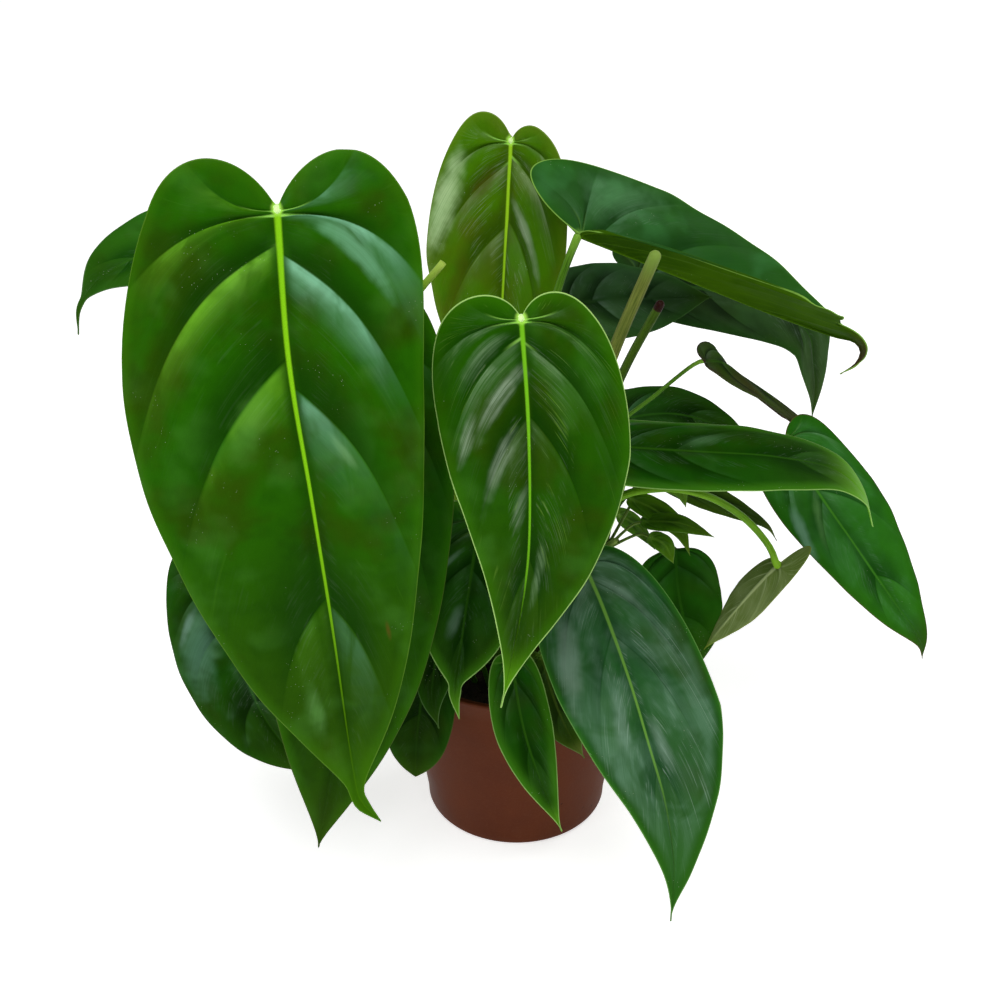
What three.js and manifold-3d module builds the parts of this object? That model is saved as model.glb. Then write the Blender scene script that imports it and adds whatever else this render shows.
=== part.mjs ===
// Potted Philodendron esmeraldense in a plastic nursery pot.
// Millimetres, +Z up. The origin is the centre of the pot's flat base, and the showing side faces -Y.

import * as THREE from 'three';
import { mergeVertices } from 'three/addons/utils/BufferGeometryUtils.js';
import Module from 'manifold-3d';

const manifold = await Module();
manifold.setup();

// Driving dimensions
const CLEARANCE = 0.3;

const POT = {
  rimRadius: 60,
  baseRadius: 45,
  height: 98,
  wall: 1.4,
  floor: 1.8,
  lipHeight: 2.4,
  lipWidth: 1.2,
  bevel: 2.5,
  sides: 40,
  drainCount: 8,
  drainRing: 31,
  drainRadius: 4,
  drainSides: 8,
};

const SOIL = {
  top: 88,
  sides: 24,
  rings: 3,
  lump: 1.6,
  stemDepth: 16,
};

// relief is the height of the swell between two lateral veins, as a share of the blade's width
const BLADE = {
  thickness: 0.8,
  keelShare: 0.02,
  keelLimits: [0.6, 2],
  relief: 0.013,
  lobeTurn: 1 / 3,
  lobeMidrib: 0.03,
  ribSlant: 1.9,
  ribCurve: 1.5,
};

// A stalk's own size is thin plus thick times its blade's width, times the radii here
const STALK = {
  footRadius: 2.7,
  topRadius: 1.9,
  thin: 0.35,
  thick: 0.007,
  sides: 6,
  steps: 8,
  reach: 0.34,
  bend: 5,
};

// Outlines, as shares of the midrib's length: how far the lobes reach back, where the blade is
// widest, and how it tapers from there. crown shapes the lobes, shoulder fills or thins the upper
// corners, and draw pulls out the tip. drip is where a thin tail starts and its half width. tail adds
// rows near the tip. lobe, widest and shoulder may differ for the left and the right half.
const OUTLINES = {
  heart: {
    lobe: 0.083, crown: [1.38, 2.1], widest: 0.21, taper: 2.2, draw: 1, veins: 7, tail: [0.97],
  },
  shield: {
    lobe: 0.07, crown: [1.9, 1.5], widest: 0.3, taper: 1.8, draw: 1.5, veins: 6, tail: [0.97],
  },
  lance: {
    lobe: 0.05, crown: [1.6, 1.8], widest: 0.34, taper: 1.7, draw: 1.3, veins: 5, tail: [0.97],
  },
  round: {
    lobe: 0.1, crown: [1.6, 1.8], widest: 0.34, taper: 2.4, draw: 1, veins: 5, tail: [0.97],
  },
  blunt: {
    lobe: 0.06, crown: [1.6, 1.8], widest: 0.4, taper: 2.6, draw: 0.8, veins: 5, tail: [0.97],
  },
  sprig: {
    lobe: 0.03, crown: [1.6, 1.8], widest: 0.36, taper: 1.8, draw: 1.2, veins: 3, tail: [],
  },
};

// Leaves. midrib runs from the stalk to the tip, and face is the way the upper side looks there.
// fold lifts the left and right half at the midrib, in degrees, and curl adds to it towards the
// margin. skew widens the left half, twist turns the blade about its midrib between two shares of
// its length. root is where the stalk leaves the soil, and via are places that it passes.
const LEAVES = [
  {
    name: 'leaf_01', outline: 'heart', tone: 'fresh', width: 120, skew: 0.17, face: [0, -0.8, 0.55],
    midrib: [
      [-94, -95, 367], [-90, -122, 316], [-83, -134, 260],
      [-77, -139, 200], [-71, -140, 122], [-69, -142, 112], [-60, -146, 103],
    ],
    fold: [20, 20], curl: [-40, -40],
    shape: { lobe: 0.072, taper: 1.75, draw: 0.9, drip: [0.95, 0.055], tail: [0.967, 0.985] },
    root: [-14, -8],
  },
  {
    name: 'leaf_02', outline: 'shield', tone: 'fresh', width: 77, skew: -0.08, face: [0, -0.85, 0.5],
    midrib: [[0, -100, 323], [3, -118, 281], [3, -128, 227], [-2, -131, 188], [-8, -130, 153]],
    fold: [18, 18], curl: [-36, -36],
    shape: { lobe: 0.055, widest: [0.22, 0.3], shoulder: [1.15, 1.05], taper: 1.6, draw: 1.7 },
    root: [2, -16],
  },
  {
    name: 'leaf_03', outline: 'shield', tone: 'olive', width: 78, skew: 0.1, face: [-0.35, -0.85, 0.5],
    midrib: [[-3, 72, 331], [-5, 58, 297], [-7, 48, 260], [-10, 40, 210], [-13, 36, 173]],
    fold: [8, 34], curl: [-25, -30], shape: { lobe: [0.075, 0.045] }, root: [-2, 4],
  },
  {
    name: 'leaf_04', outline: 'heart', tone: 'deep', width: 88, face: [0, 0.16, 0.99],
    midrib: [
      [27, 12, 310], [60, 14, 295], [92, 16, 280], [126, 14, 266], [146, 12, 259],
      [155, 8, 258], [158, 6, 254], [156, 4, 249], [148, 0, 245],
    ],
    fold: [30, 43], curl: [-12, -10],
    shape: {
      lobe: [0, 0.15], widest: [0.6, 0.21], shoulder: [0.5, 1], taper: 2, draw: 1.1,
      drip: [0.893, 0.05], tail: [0.955, 0.97, 0.985],
    },
    root: [12, 6],
  },
  {
    name: 'leaf_05', outline: 'heart', tone: 'deep', width: 44, face: [0, -0.6, 0.8],
    midrib: [[20, 48, 256], [43, 55, 257], [69, 62, 254], [95, 66, 253]],
    fold: [10, 10], curl: [-30, -30], root: [8, 18],
  },
  {
    name: 'leaf_06', outline: 'heart', tone: 'deep', width: 46, face: [0, -0.5, 0.85],
    midrib: [
      [58, 80, 258], [81, 80, 253], [112, 83, 244], [135, 84, 235],
      [147, 82, 224], [150, 80, 210], [152, 79, 195], [152, 78, 179],
    ],
    fold: [10, 10], curl: [-20, -20], shape: { taper: 3, tail: [0.965] }, root: [16, 22],
  },
  {
    name: 'leaf_07', outline: 'lance', tone: 'deep', width: 24, face: [0.2, -0.77, 0.64],
    midrib: [[88, 20, 242], [97, 26, 238], [108, 31, 228], [119, 36, 218], [130, 40, 208], [151, 45, 188]],
    fold: [-30, -20], curl: [0, 0], twist: { roll: -56, from: 0.02, to: 0.4 },
    shape: { lobe: [0, 0.04], widest: [0.6, 0.34], shoulder: [0.5, 1.3] },
    root: [22, -2], via: [[39, -4, 210], [65, 9, 230]],
  },
  {
    name: 'leaf_08', outline: 'heart', tone: 'deep', width: 40, face: [0.1, -0.4, 0.9],
    midrib: [[33, 20, 207], [77, 22, 212], [114, 14, 201]],
    fold: [5, 5], curl: [-25, -25], root: [21, 12],
  },
  {
    name: 'leaf_09', outline: 'heart', tone: 'fresh', width: 50, face: [0.1, -0.15, 0.98],
    midrib: [
      [36, -36, 228], [82, -38, 226], [118, -36, 222],
      [144, -34, 214], [158, -32, 200], [165, -30, 181],
    ],
    fold: [6, 6], curl: [-24, -24], root: [16, -12],
  },
  {
    name: 'leaf_10', outline: 'heart', tone: 'deep', width: 54, skew: -0.13, face: [0.35, -0.75, 0.55],
    midrib: [[130, 25, 197], [146, 16, 173], [166, 8, 146], [189, 2, 114], [203, 0, 94], [205, 0, 83]],
    fold: [10, 10], curl: [-25, -25], shape: { lobe: 0.05, widest: [0.21, 0.3], taper: 1.8 },
    root: [28, 6], via: [[39, -4, 174], [58, 4, 190], [96, 18, 194]],
  },
  {
    name: 'leaf_11', outline: 'shield', tone: 'bluish', width: 70, skew: -0.04, face: [0.1, -0.8, 0.6],
    midrib: [
      [30, -45, 171], [38, -65, 161], [49, -92, 141], [57, -118, 124],
      [64, -136, 105], [68, -150, 79], [67, -158, 56],
    ],
    fold: [12, 12], curl: [-26, -26],
    shape: { lobe: 0.06, widest: [0.32, 0.47], crown: [1.4, 0.6], shoulder: [1.1, 0.92], taper: 1.6 },
    root: [12, -22],
  },
  {
    name: 'leaf_12', outline: 'lance', tone: 'deep', width: 28, face: [0, -0.85, 0.5],
    midrib: [[-3, -62, 128], [2, -73, 100], [9, -82, 78], [21, -90, 48]],
    fold: [14, 14], curl: [-20, -20], root: [4, -32],
  },
  {
    name: 'leaf_13', outline: 'heart', tone: 'fresh', width: 48, face: [0.1, -0.85, 0.5],
    midrib: [[-18, -40, 191], [-22, -56, 168], [-26, -72, 146], [-29, -83, 124], [-27, -87, 113]],
    fold: [14, 14], curl: [-20, -20], shape: { widest: 0.3, drip: [0.8, 0.12] }, root: [-8, -22],
  },
  {
    name: 'leaf_14', outline: 'heart', tone: 'deep', width: 90, face: [0.1, -0.85, 0.5],
    midrib: [
      [-75, -45, 286], [-73, -62, 246], [-74, -78, 194],
      [-79, -90, 137], [-88, -96, 78], [-94, -98, 45],
    ],
    fold: [14, 14], curl: [-24, -24], root: [-18, -14],
  },
  {
    name: 'leaf_15', outline: 'heart', tone: 'deep', width: 68, face: [-0.2, -0.8, 0.55],
    midrib: [[-134, -30, 163], [-133, -43, 137], [-126, -56, 105], [-113, -64, 82], [-97, -70, 66]],
    fold: [14, 14], curl: [-24, -24], root: [-26, -6],
  },
  {
    name: 'leaf_16', outline: 'heart', tone: 'deep', width: 44, face: [0, -0.5, 0.85],
    midrib: [
      [-116, 25, 308], [-150, 2, 311], [-174, -18, 308],
      [-184, -32, 304], [-189, -38, 297], [-190, -41, 286],
    ],
    fold: [10, 10], curl: [-20, -20], shape: { taper: 2.4, drip: [0.85, 0.06], tail: [0.95, 0.975] },
    root: [-18, 6],
  },
  {
    name: 'leaf_17', outline: 'blunt', tone: 'deep', width: 34, face: [-0.2, -0.85, 0.5],
    midrib: [[-42, -46, 128], [-45, -57, 107], [-48, -65, 83], [-49, -69, 64]],
    fold: [13, 10], curl: [-20, -20], shape: { draw: 0.6 }, root: [-18, -24],
  },
  {
    name: 'leaf_18', outline: 'lance', tone: 'deep', width: 24, face: [0, -0.85, 0.5],
    midrib: [[-36, -50, 154], [-38, -60, 132], [-40, -70, 110], [-37, -74, 97]],
    fold: [14, 14], curl: [-20, -20], root: [-12, -28],
  },
  {
    name: 'leaf_19', outline: 'lance', tone: 'olive', width: 28, face: [0, -0.85, 0.5],
    midrib: [[11, -52, 124], [18, -60, 101], [25, -64, 85], [32, -66, 73]],
    fold: [10, 10], curl: [-20, -20], root: [14, -32],
  },
  {
    name: 'leaf_20', outline: 'round', tone: 'deep', width: 44, face: [0.2, -0.8, 0.5],
    midrib: [[78, 11, 142], [80, 3, 122], [85, -6, 101], [89, -10, 82]],
    fold: [10, 10], curl: [-20, -20], shape: { lobe: 0.01 }, root: [41, -4],
  },
  {
    name: 'leaf_21', outline: 'lance', tone: 'pale', width: 23, face: [0.3, 0.8, -0.5],
    midrib: [[126, -10, 147], [114, -14, 134], [107, -16, 125], [100, -17, 115], [92, -18, 102]],
    fold: [-10, 50], curl: [-20, -20], shape: { lobe: [0.26, 0.03] }, stalk: 0.9,
    root: [24, -14], via: [[44, -20, 188], [64, -22, 197], [85, -20, 193], [107, -14, 176], [121, -13, 158]],
  },
  {
    name: 'leaf_22', outline: 'lance', tone: 'olive', width: 18, face: [0, -0.4, 0.9],
    midrib: [[70, 30, 172], [91, 32, 162], [112, 32, 151], [126, 30, 143], [131, 28, 136]],
    fold: [10, 10], curl: [-20, -20], root: [30, 14], via: [[47, 18, 157], [60, 26, 170]],
  },
  {
    name: 'leaf_23', outline: 'shield', tone: 'deep', width: 60, face: [0, 0.8, 0.6],
    midrib: [[-8, 64, 165], [-10, 105, 140], [-12, 135, 95]],
    fold: [12, 12], curl: [-24, -24], root: [-4, 26],
  },
  {
    name: 'leaf_24', outline: 'heart', tone: 'deep', width: 60, face: [-0.5, 0.6, 0.6],
    midrib: [[-55, 45, 175], [-85, 75, 145], [-105, 105, 95]],
    fold: [12, 12], curl: [-24, -24], root: [-16, 18],
  },
  {
    name: 'leaf_25', outline: 'shield', tone: 'deep', width: 54, face: [0.4, 0.7, 0.6],
    midrib: [[55, 58, 155], [78, 95, 140], [95, 120, 105]],
    fold: [12, 12], curl: [-24, -24], root: [18, 30],
  },
];

// Rolled new leaves and cut stalks that stand between the leaves, from the soil to a round or cut end
const SHOOTS = [
  {
    name: 'shoot_1', tone: 'tan', radius: [3.2, 2.8],
    route: [[7, -7], [20, -11, 180], [42, -15, 263], [59, -25, 318]],
  },
  {
    name: 'shoot_2', tone: 'stem', radius: [2.4, 2.1],
    route: [[13, -3], [28, 0, 180], [48, 5, 242], [64.5, 0, 282.5]],
  },
  {
    name: 'shoot_3', tone: 'stem', radius: [2.2, 1.6], cut: true,
    route: [[-10, 4], [-30, 3, 180], [-52, -14, 262], [-47, -22, 292], [-33, -20, 310.5]],
  },
];

// Young side plant: thin stalks that fan out from one stem, each with a small blade
const SEEDLING = {
  root: [37, 2],
  stem: [[39, 2, 120], [43, 2, 148], [49, 0, 155]],
  stemRadius: 1.7,
  stalkRadius: 0.8,
  stalkRise: [4, 2],
  stalkSink: 1,
  leaves: [
    { width: 12, face: [0, -0.3, 0.95], midrib: [[60, -3, 167], [77, -6, 168], [95, -6, 160]] },
    { width: 14, face: [0.3, -0.5, 0.8], midrib: [[54, 5, 175], [66, 3, 170], [78, 0, 161], [84, -4, 148]] },
    { width: 9, face: [0, -0.8, 0.5], midrib: [[63, -9, 162], [70, -12, 160], [75, -14, 150]] },
    { width: 11, face: [0, -0.6, 0.8], midrib: [[68, 8, 183], [78, 8, 180], [82, 8, 168]] },
    { width: 12, face: [0.4, -0.5, 0.7], midrib: [[49, 13, 161], [60, 19, 150], [69, 20, 136]] },
  ],
};

// Rings of a rounded end, as radii back from the end and the share of the radius there
const DOME = [[1.2, 1], [0.5, 0.85], [0, 0.35]];

// Shares of the half width that carry vertices, for blades up to a width
const COLUMNS = [
  { width: 16, shares: [1] },
  { width: 52, shares: [0.5, 1] },
  { width: Infinity, shares: [0.34, 0.68, 1] },
];

const TONES = {
  fresh: { color: 0x2f6a12, roughness: 0.36 },
  deep: { color: 0x1c4a22, roughness: 0.34 },
  olive: { color: 0x47601c, roughness: 0.4 },
  bluish: { color: 0x2c5a48, roughness: 0.3 },
  pale: { color: 0x6d7c4c, roughness: 0.5 },
  stem: { color: 0x5f8a2c, roughness: 0.45 },
  tan: { color: 0x8f9a5a, roughness: 0.5 },
  pot: { color: 0x5a3426, roughness: 0.55 },
  soil: { color: 0x1a120c, roughness: 0.95 },
};

const NO_TWIST = { roll: 0, from: 0, to: 1 };
const FRAME_STEPS = 80;

const vector = ([x, y, z]) => new THREE.Vector3(x, y, z);
const radians = THREE.MathUtils.degToRad;
const mix = THREE.MathUtils.lerp;
const limit = THREE.MathUtils.clamp;

const smoothCurve = (points) => new THREE.CatmullRomCurve3(points.map(vector), false, 'centripetal');

const keelDepth = (leaf) => limit(leaf.width * BLADE.keelShare, ...BLADE.keelLimits);

// Midrib with a frame at even steps: T runs to the tip, N is the upper side's normal and S points
// to the right as the upper side is seen with the tip down.
class Midrib {
  constructor(leaf) {
    const curve = smoothCurve(leaf.midrib);
    this.length = curve.getLength();
    this.frames = [];
    const { roll, from, to } = leaf.twist ?? NO_TWIST;
    let normal = vector(leaf.face);
    for (let k = 0; k <= FRAME_STEPS; k += 1) {
      const share = k / FRAME_STEPS;
      const T = curve.getTangentAt(share);
      normal = normal.clone().addScaledVector(T, -normal.dot(T)).normalize();
      const turn = radians(roll) * THREE.MathUtils.smoothstep(share, from, to);
      const N = normal.clone().applyAxisAngle(T, turn);
      this.frames.push({ P: curve.getPointAt(share), T, N, S: N.clone().cross(T) });
    }
  }

  // Frame at a share of the length, and straight back from the stalk below zero
  at(share) {
    const place = limit(share, 0, 1) * FRAME_STEPS;
    const k = Math.min(Math.floor(place), FRAME_STEPS - 1);
    const [a, b] = [this.frames[k], this.frames[k + 1]];
    const between = (key) => a[key].clone().lerp(b[key], place - k);
    const P = between('P');
    const [T, N, S] = ['T', 'N', 'S'].map((key) => between(key).normalize());
    P.addScaledVector(T, Math.min(0, share) * this.length);
    return { P, T, N, S };
  }
}

// Value for one half of a blade, where the outline gives one for each
const forSide = (value, side) => [value].flat().at(side < 0 ? 0 : -1);

// Half width at a share q of the way from the widest place to the tip, without and with a thin tail
const bodyWidth = ({ taper, draw }, q) => (1 - q ** taper) ** draw * Math.sqrt(1 - q ** 8);
function drippingWidth(outline, q) {
  const [start, half] = outline.drip;
  const body = bodyWidth(outline, Math.min(1, q / start));
  const tail = half * Math.min(1, (1 - q) / (1 - start));
  return (body ** 4 + tail ** 4) ** 0.25;
}

// Point of the margin at a share t of the way round one half, from the stalk over the lobe to the tip
function marginPoint(outline, t, side) {
  const [lobe, widest, shoulder] = ['lobe', 'widest', 'shoulder']
    .map((key) => forSide(outline[key] ?? 1, side));
  if (t <= BLADE.lobeTurn) {
    const q = t / BLADE.lobeTurn;
    const [b1, b2, b3] = [3 * (1 - q) ** 2 * q, 3 * (1 - q) * q ** 2, q ** 3];
    const [near, far] = outline.crown;
    return { x: widest * b3 - lobe * (near * b1 + far * b2), y: 0.2 * b1 + shoulder * b2 + b3 };
  }
  const q = (t - BLADE.lobeTurn) / (1 - BLADE.lobeTurn);
  return { x: mix(widest, 1, q), y: (outline.drip ? drippingWidth : bodyWidth)(outline, q) };
}

// Point of the lateral rib that meets the margin at t, a share v of the way out from the midrib
function ribPoint(outline, t, v, side) {
  const edge = marginPoint(outline, t, side);
  const lobePart = Math.min(1, t / BLADE.lobeTurn);
  const bodyPart = Math.max(0, (t - BLADE.lobeTurn) / (1 - BLADE.lobeTurn));
  const start = BLADE.lobeMidrib * lobePart ** 2 + (1 - BLADE.lobeMidrib) * bodyPart ** BLADE.ribSlant;
  return { x: mix(start, edge.x, v ** BLADE.ribCurve), y: edge.y * v };
}

// Veins lie in valleys and the blade swells between them, fading at the midrib, margin and tip
function swell(outline, t, v) {
  return -Math.cos(2 * Math.PI * outline.veins * t) * Math.sin(Math.PI * v ** 0.8) * Math.min(1, 4 * (1 - t));
}

// Position on the upper side: each half is an arc that starts at the fold and turns by the curl
function bladePoint(leaf, outline, rib, t, v, side) {
  const { x, y } = ribPoint(outline, t, v, side);
  const { P, N, S } = rib.at(x);
  const hand = side < 0 ? 0 : 1;
  const fold = radians(leaf.fold?.[hand] ?? 0);
  const curl = radians(leaf.curl?.[hand] || 0.1);
  const lean = (leaf.skew ?? 0) * Math.sin(Math.PI * limit(x, 0, 1));
  const half = (leaf.width / 2) * (1 - side * lean);
  const angle = fold + curl * y;
  const across = (half * (Math.sin(angle) - Math.sin(fold))) / curl;
  const up = (half * (Math.cos(fold) - Math.cos(angle))) / curl;
  const lift = swell(outline, t, v) * leaf.width * BLADE.relief;
  return P.addScaledVector(S, side * (across - lift * Math.sin(angle)))
    .addScaledVector(N, up + lift * Math.cos(angle));
}

// Closed blade: rows run from the stalk to the tip, columns from the left to the right margin.
// The first and last rows are single points.
function bladeGeometry(leaf, keel) {
  const outline = { ...OUTLINES[leaf.outline], ...leaf.shape };
  const rib = new Midrib(leaf);
  const steps = outline.veins * 2;
  const turns = [...Array(steps).keys()].map((i) => i / steps).concat(outline.tail, 1);
  const outer = COLUMNS.find(({ width }) => leaf.width <= width).shares;
  const shares = keel > 0 ? [(2 * keel) / leaf.width, ...outer] : outer;
  const columns = [...shares.map((v) => -v).reverse(), 0, ...shares];
  const rows = turns.map((t) => {
    const pointed = t === 0 || t === 1;
    return (pointed ? [0] : columns).map((c) => bladePoint(leaf, outline, rib, t, Math.abs(c), Math.sign(c)));
  });
  const keels = turns.map((t) => keel * (1 - ribPoint(outline, t, 0, 0).x));
  return twoSkins(rows, columns, keels);
}

// Two skins over the same grid, split alike, with a keel under the midrib and walls at the margins
function twoSkins(rows, columns, keels) {
  const top = rows.flat();
  const starts = rows.map((_, i) => rows.slice(0, i).flat().length);
  const at = (i, j) => starts[i] + (rows[i].length === 1 ? 0 : j);
  const centre = columns.indexOf(0);
  const right = columns.length - 1;
  const skin = [];
  const walls = [];
  for (let i = 0; i < rows.length - 1; i += 1) {
    for (let j = 0; j < right; j += 1) {
      const [a, b, c, d] = [at(i, j), at(i + 1, j), at(i + 1, j + 1), at(i, j + 1)];
      const halves = j < centre ? [[a, b, c], [a, c, d]] : [[b, c, d], [b, d, a]];
      skin.push(...halves.filter((corners) => new Set(corners).size === 3));
    }
    walls.push([at(i, 0), at(i + 1, 0)], [at(i + 1, right), at(i, right)]);
  }
  const normals = top.map(() => new THREE.Vector3());
  skin.forEach((corners) => {
    const [a, b, c] = corners.map((k) => top[k]);
    const normal = b.clone().sub(a).cross(c.clone().sub(a));
    corners.forEach((k) => normals[k].add(normal));
  });
  const depths = top.map(() => BLADE.thickness);
  keels.forEach((keel, i) => {
    depths[at(i, centre)] += keel;
  });
  const bottom = top.map((point, k) => point.clone().addScaledVector(normals[k].normalize(), -depths[k]));
  const low = top.length;
  return solid([...top, ...bottom], [
    ...skin,
    ...skin.map(([a, b, c]) => [c + low, b + low, a + low]),
    ...walls.flatMap(([a, b]) => [[a, a + low, b + low], [a, b + low, b]]),
  ]);
}

function solid(points, triangles) {
  const geometry = new THREE.BufferGeometry().setFromPoints(points);
  geometry.setIndex(triangles.flat());
  return geometry;
}

// Tapered round rod along a curve, with a rounded end if it is domed, and a flat one otherwise
function rodGeometry(curve, radiusAt, { sides = STALK.sides, steps = STALK.steps, domed = false } = {}) {
  const stations = [...Array(steps + 1).keys()].map((i) => ({ share: i / steps, scale: 1 }));
  if (domed) {
    const reach = radiusAt(1) / curve.getLength();
    stations.pop();
    DOME.forEach(([back, scale]) => stations.push({ share: 1 - back * reach, scale }));
  }
  const points = [];
  let across = new THREE.Vector3(1, 0, 0);
  stations.forEach(({ share, scale }) => {
    const along = curve.getTangentAt(share);
    across = across.clone().addScaledVector(along, -across.dot(along)).normalize();
    const other = along.clone().cross(across);
    const radius = radiusAt(share) * scale;
    for (let j = 0; j < sides; j += 1) {
      const turn = (2 * Math.PI * j) / sides;
      points.push(curve.getPointAt(share)
        .addScaledVector(across, radius * Math.cos(turn))
        .addScaledVector(other, radius * Math.sin(turn)));
    }
  });
  const triangles = [];
  const last = (stations.length - 1) * sides;
  for (let start = 0; start < last; start += sides) {
    for (let j = 0; j < sides; j += 1) {
      const [a, b] = [start + j, start + ((j + 1) % sides)];
      triangles.push([a, b, b + sides], [a, b + sides, a + sides]);
    }
  }
  for (let j = 1; j < sides - 1; j += 1) {
    triangles.push([0, j + 1, j], [last, last + j, last + j + 1]);
  }
  return solid(points, triangles);
}

const footPoint = ([x, y]) => [x, y, SOIL.top - SOIL.stemDepth];
const soilPoint = ([x, y]) => [x, y, SOIL.top];

// Stalk from the soil to the underside of its blade, where it meets the keel squarely
function stalkCurve(leaf) {
  const { P, N } = new Midrib(leaf).at(0);
  const end = P.clone().addScaledVector(N, -(BLADE.thickness + keelDepth(leaf) + CLEARANCE));
  if (leaf.via) {
    const below = end.clone().addScaledVector(N, -STALK.bend).toArray();
    return smoothCurve([footPoint(leaf.root), soilPoint(leaf.root), ...leaf.via, below, end.toArray()]);
  }
  const foot = vector(footPoint(leaf.root));
  const reach = foot.distanceTo(end) * STALK.reach;
  return new THREE.CubicBezierCurve3(
    foot,
    foot.clone().setZ(foot.z + reach),
    end.clone().addScaledVector(N, -reach),
    end,
  );
}

function stalkGeometry(leaf, extra = 0) {
  const size = leaf.stalk ?? STALK.thin + STALK.thick * leaf.width;
  const radiusAt = (share) => size * mix(STALK.footRadius, STALK.topRadius, share) + extra;
  return rodGeometry(stalkCurve(leaf), radiusAt);
}

function shootGeometry({ radius, route, cut }, extra = 0) {
  const curve = smoothCurve([footPoint(route[0]), soilPoint(route[0]), ...route.slice(1)]);
  return rodGeometry(curve, (share) => mix(...radius, share) + extra, { domed: !cut });
}

function toManifold(geometry) {
  const bare = new THREE.BufferGeometry();
  bare.setAttribute('position', geometry.getAttribute('position'));
  bare.setIndex(geometry.getIndex());
  const merged = mergeVertices(bare, 1e-4);
  return new manifold.Manifold(new manifold.Mesh({
    numProp: 3,
    vertProperties: new Float32Array(merged.getAttribute('position').array),
    triVerts: new Uint32Array(merged.getIndex().array),
  }));
}

function fromManifold(body) {
  const { vertProperties, triVerts } = body.getMesh();
  const geometry = new THREE.BufferGeometry();
  geometry.setAttribute('position', new THREE.BufferAttribute(new Float32Array(vertProperties), 3));
  geometry.setIndex(new THREE.BufferAttribute(new Uint32Array(triVerts), 1));
  return geometry;
}

function seedlingStem(extra = 0) {
  const curve = smoothCurve([footPoint(SEEDLING.root), soilPoint(SEEDLING.root), ...SEEDLING.stem]);
  return rodGeometry(curve, () => SEEDLING.stemRadius + extra, { steps: 6 });
}

// One body: the stalks start inside the stem, and each blade's foot is sunk into its stalk's end
function seedlingGeometry() {
  const hub = SEEDLING.stem.at(-2);
  let body = toManifold(seedlingStem());
  SEEDLING.leaves.forEach((blade) => {
    const leaf = { ...blade, outline: 'sprig' };
    const { P, T, N } = new Midrib(leaf).at(0);
    const [back, down] = SEEDLING.stalkRise;
    const sunk = P.clone().addScaledVector(T, SEEDLING.stalkSink).addScaledVector(N, -BLADE.thickness / 2);
    const behind = P.clone().addScaledVector(T, -back).addScaledVector(N, -down);
    const route = smoothCurve([hub, behind.toArray(), sunk.toArray()]);
    const stalk = rodGeometry(route, () => SEEDLING.stalkRadius, { sides: 5, steps: 4 });
    body = body.add(toManifold(stalk)).add(toManifold(bladeGeometry(leaf, 0)));
  });
  return fromManifold(body);
}

const outerRadius = (z) => mix(POT.baseRadius, POT.rimRadius - POT.lipWidth, z / POT.height);
const innerRadius = (z) => outerRadius(z) - POT.wall;

// Thin round pot with a lip and a bevelled foot, and drain holes round a solid centre
function potGeometry() {
  const { rimRadius, baseRadius, height, floor, lipHeight, lipWidth, bevel } = POT;
  const profile = [
    [0, 0],
    [baseRadius - bevel / 2, 0],
    [outerRadius(bevel), bevel],
    [outerRadius(height - lipHeight - lipWidth), height - lipHeight - lipWidth],
    [rimRadius, height - lipHeight],
    [rimRadius, height - lipWidth / 2],
    [rimRadius - lipWidth / 2, height],
    [innerRadius(height), height],
    [innerRadius(floor), floor],
    [0, floor],
  ];
  const body = new THREE.LatheGeometry(profile.map(([r, z]) => new THREE.Vector2(r, z)), POT.sides);
  body.rotateX(Math.PI / 2);
  let pot = toManifold(body);
  for (let k = 0; k < POT.drainCount; k += 1) {
    const turn = ((k + 0.5) * 2 * Math.PI) / POT.drainCount;
    const drain = new THREE.CylinderGeometry(POT.drainRadius, POT.drainRadius, 4 * floor, POT.drainSides);
    drain.rotateX(Math.PI / 2);
    drain.translate(POT.drainRing * Math.cos(turn), POT.drainRing * Math.sin(turn), 0);
    pot = pot.subtract(toManifold(drain));
  }
  return fromManifold(pot);
}

// Soil plug with a lumpy top, and a plain hole round every stem that stands in it
function soilGeometry(stems) {
  const bottom = POT.floor + CLEARANCE;
  const edge = SOIL.top - SOIL.lump;
  const rings = [{ radius: innerRadius(bottom) - 2 * CLEARANCE, z: bottom, lump: 0 }];
  for (let k = SOIL.rings; k > 0; k -= 1) {
    const outermost = k === SOIL.rings;
    const radius = ((innerRadius(edge) - 2 * CLEARANCE) * k) / SOIL.rings;
    rings.push({ radius, z: outermost ? edge : SOIL.top, lump: outermost ? 0 : SOIL.lump });
  }
  const points = [new THREE.Vector3(0, 0, bottom)];
  rings.forEach(({ radius, z, lump }) => {
    for (let j = 0; j < SOIL.sides; j += 1) {
      const turn = (2 * Math.PI * j) / SOIL.sides;
      const height = z + lump * Math.sin(3 * turn + radius) * Math.cos(5 * turn - 0.3 * radius);
      points.push(new THREE.Vector3(radius * Math.cos(turn), radius * Math.sin(turn), height));
    }
  });
  const last = points.push(new THREE.Vector3(0, 0, SOIL.top)) - 1;
  const triangles = [];
  for (let j = 0; j < SOIL.sides; j += 1) {
    const next = (j + 1) % SOIL.sides;
    triangles.push([0, 1 + next, 1 + j]);
    for (let k = 0; k < rings.length - 1; k += 1) {
      const [a, b] = [1 + k * SOIL.sides + j, 1 + k * SOIL.sides + next];
      triangles.push([a, b, b + SOIL.sides], [a, b + SOIL.sides, a + SOIL.sides]);
    }
    const start = 1 + (rings.length - 1) * SOIL.sides;
    triangles.push([start + j, start + next, last]);
  }
  let soil = toManifold(solid(points, triangles));
  stems.forEach((stem) => {
    soil = soil.subtract(toManifold(stem));
  });
  return fromManifold(soil);
}

function named(name, geometry, tone) {
  const mesh = new THREE.Mesh(geometry, new THREE.MeshStandardMaterial({ metalness: 0, ...TONES[tone] }));
  mesh.name = name;
  return mesh;
}

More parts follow.
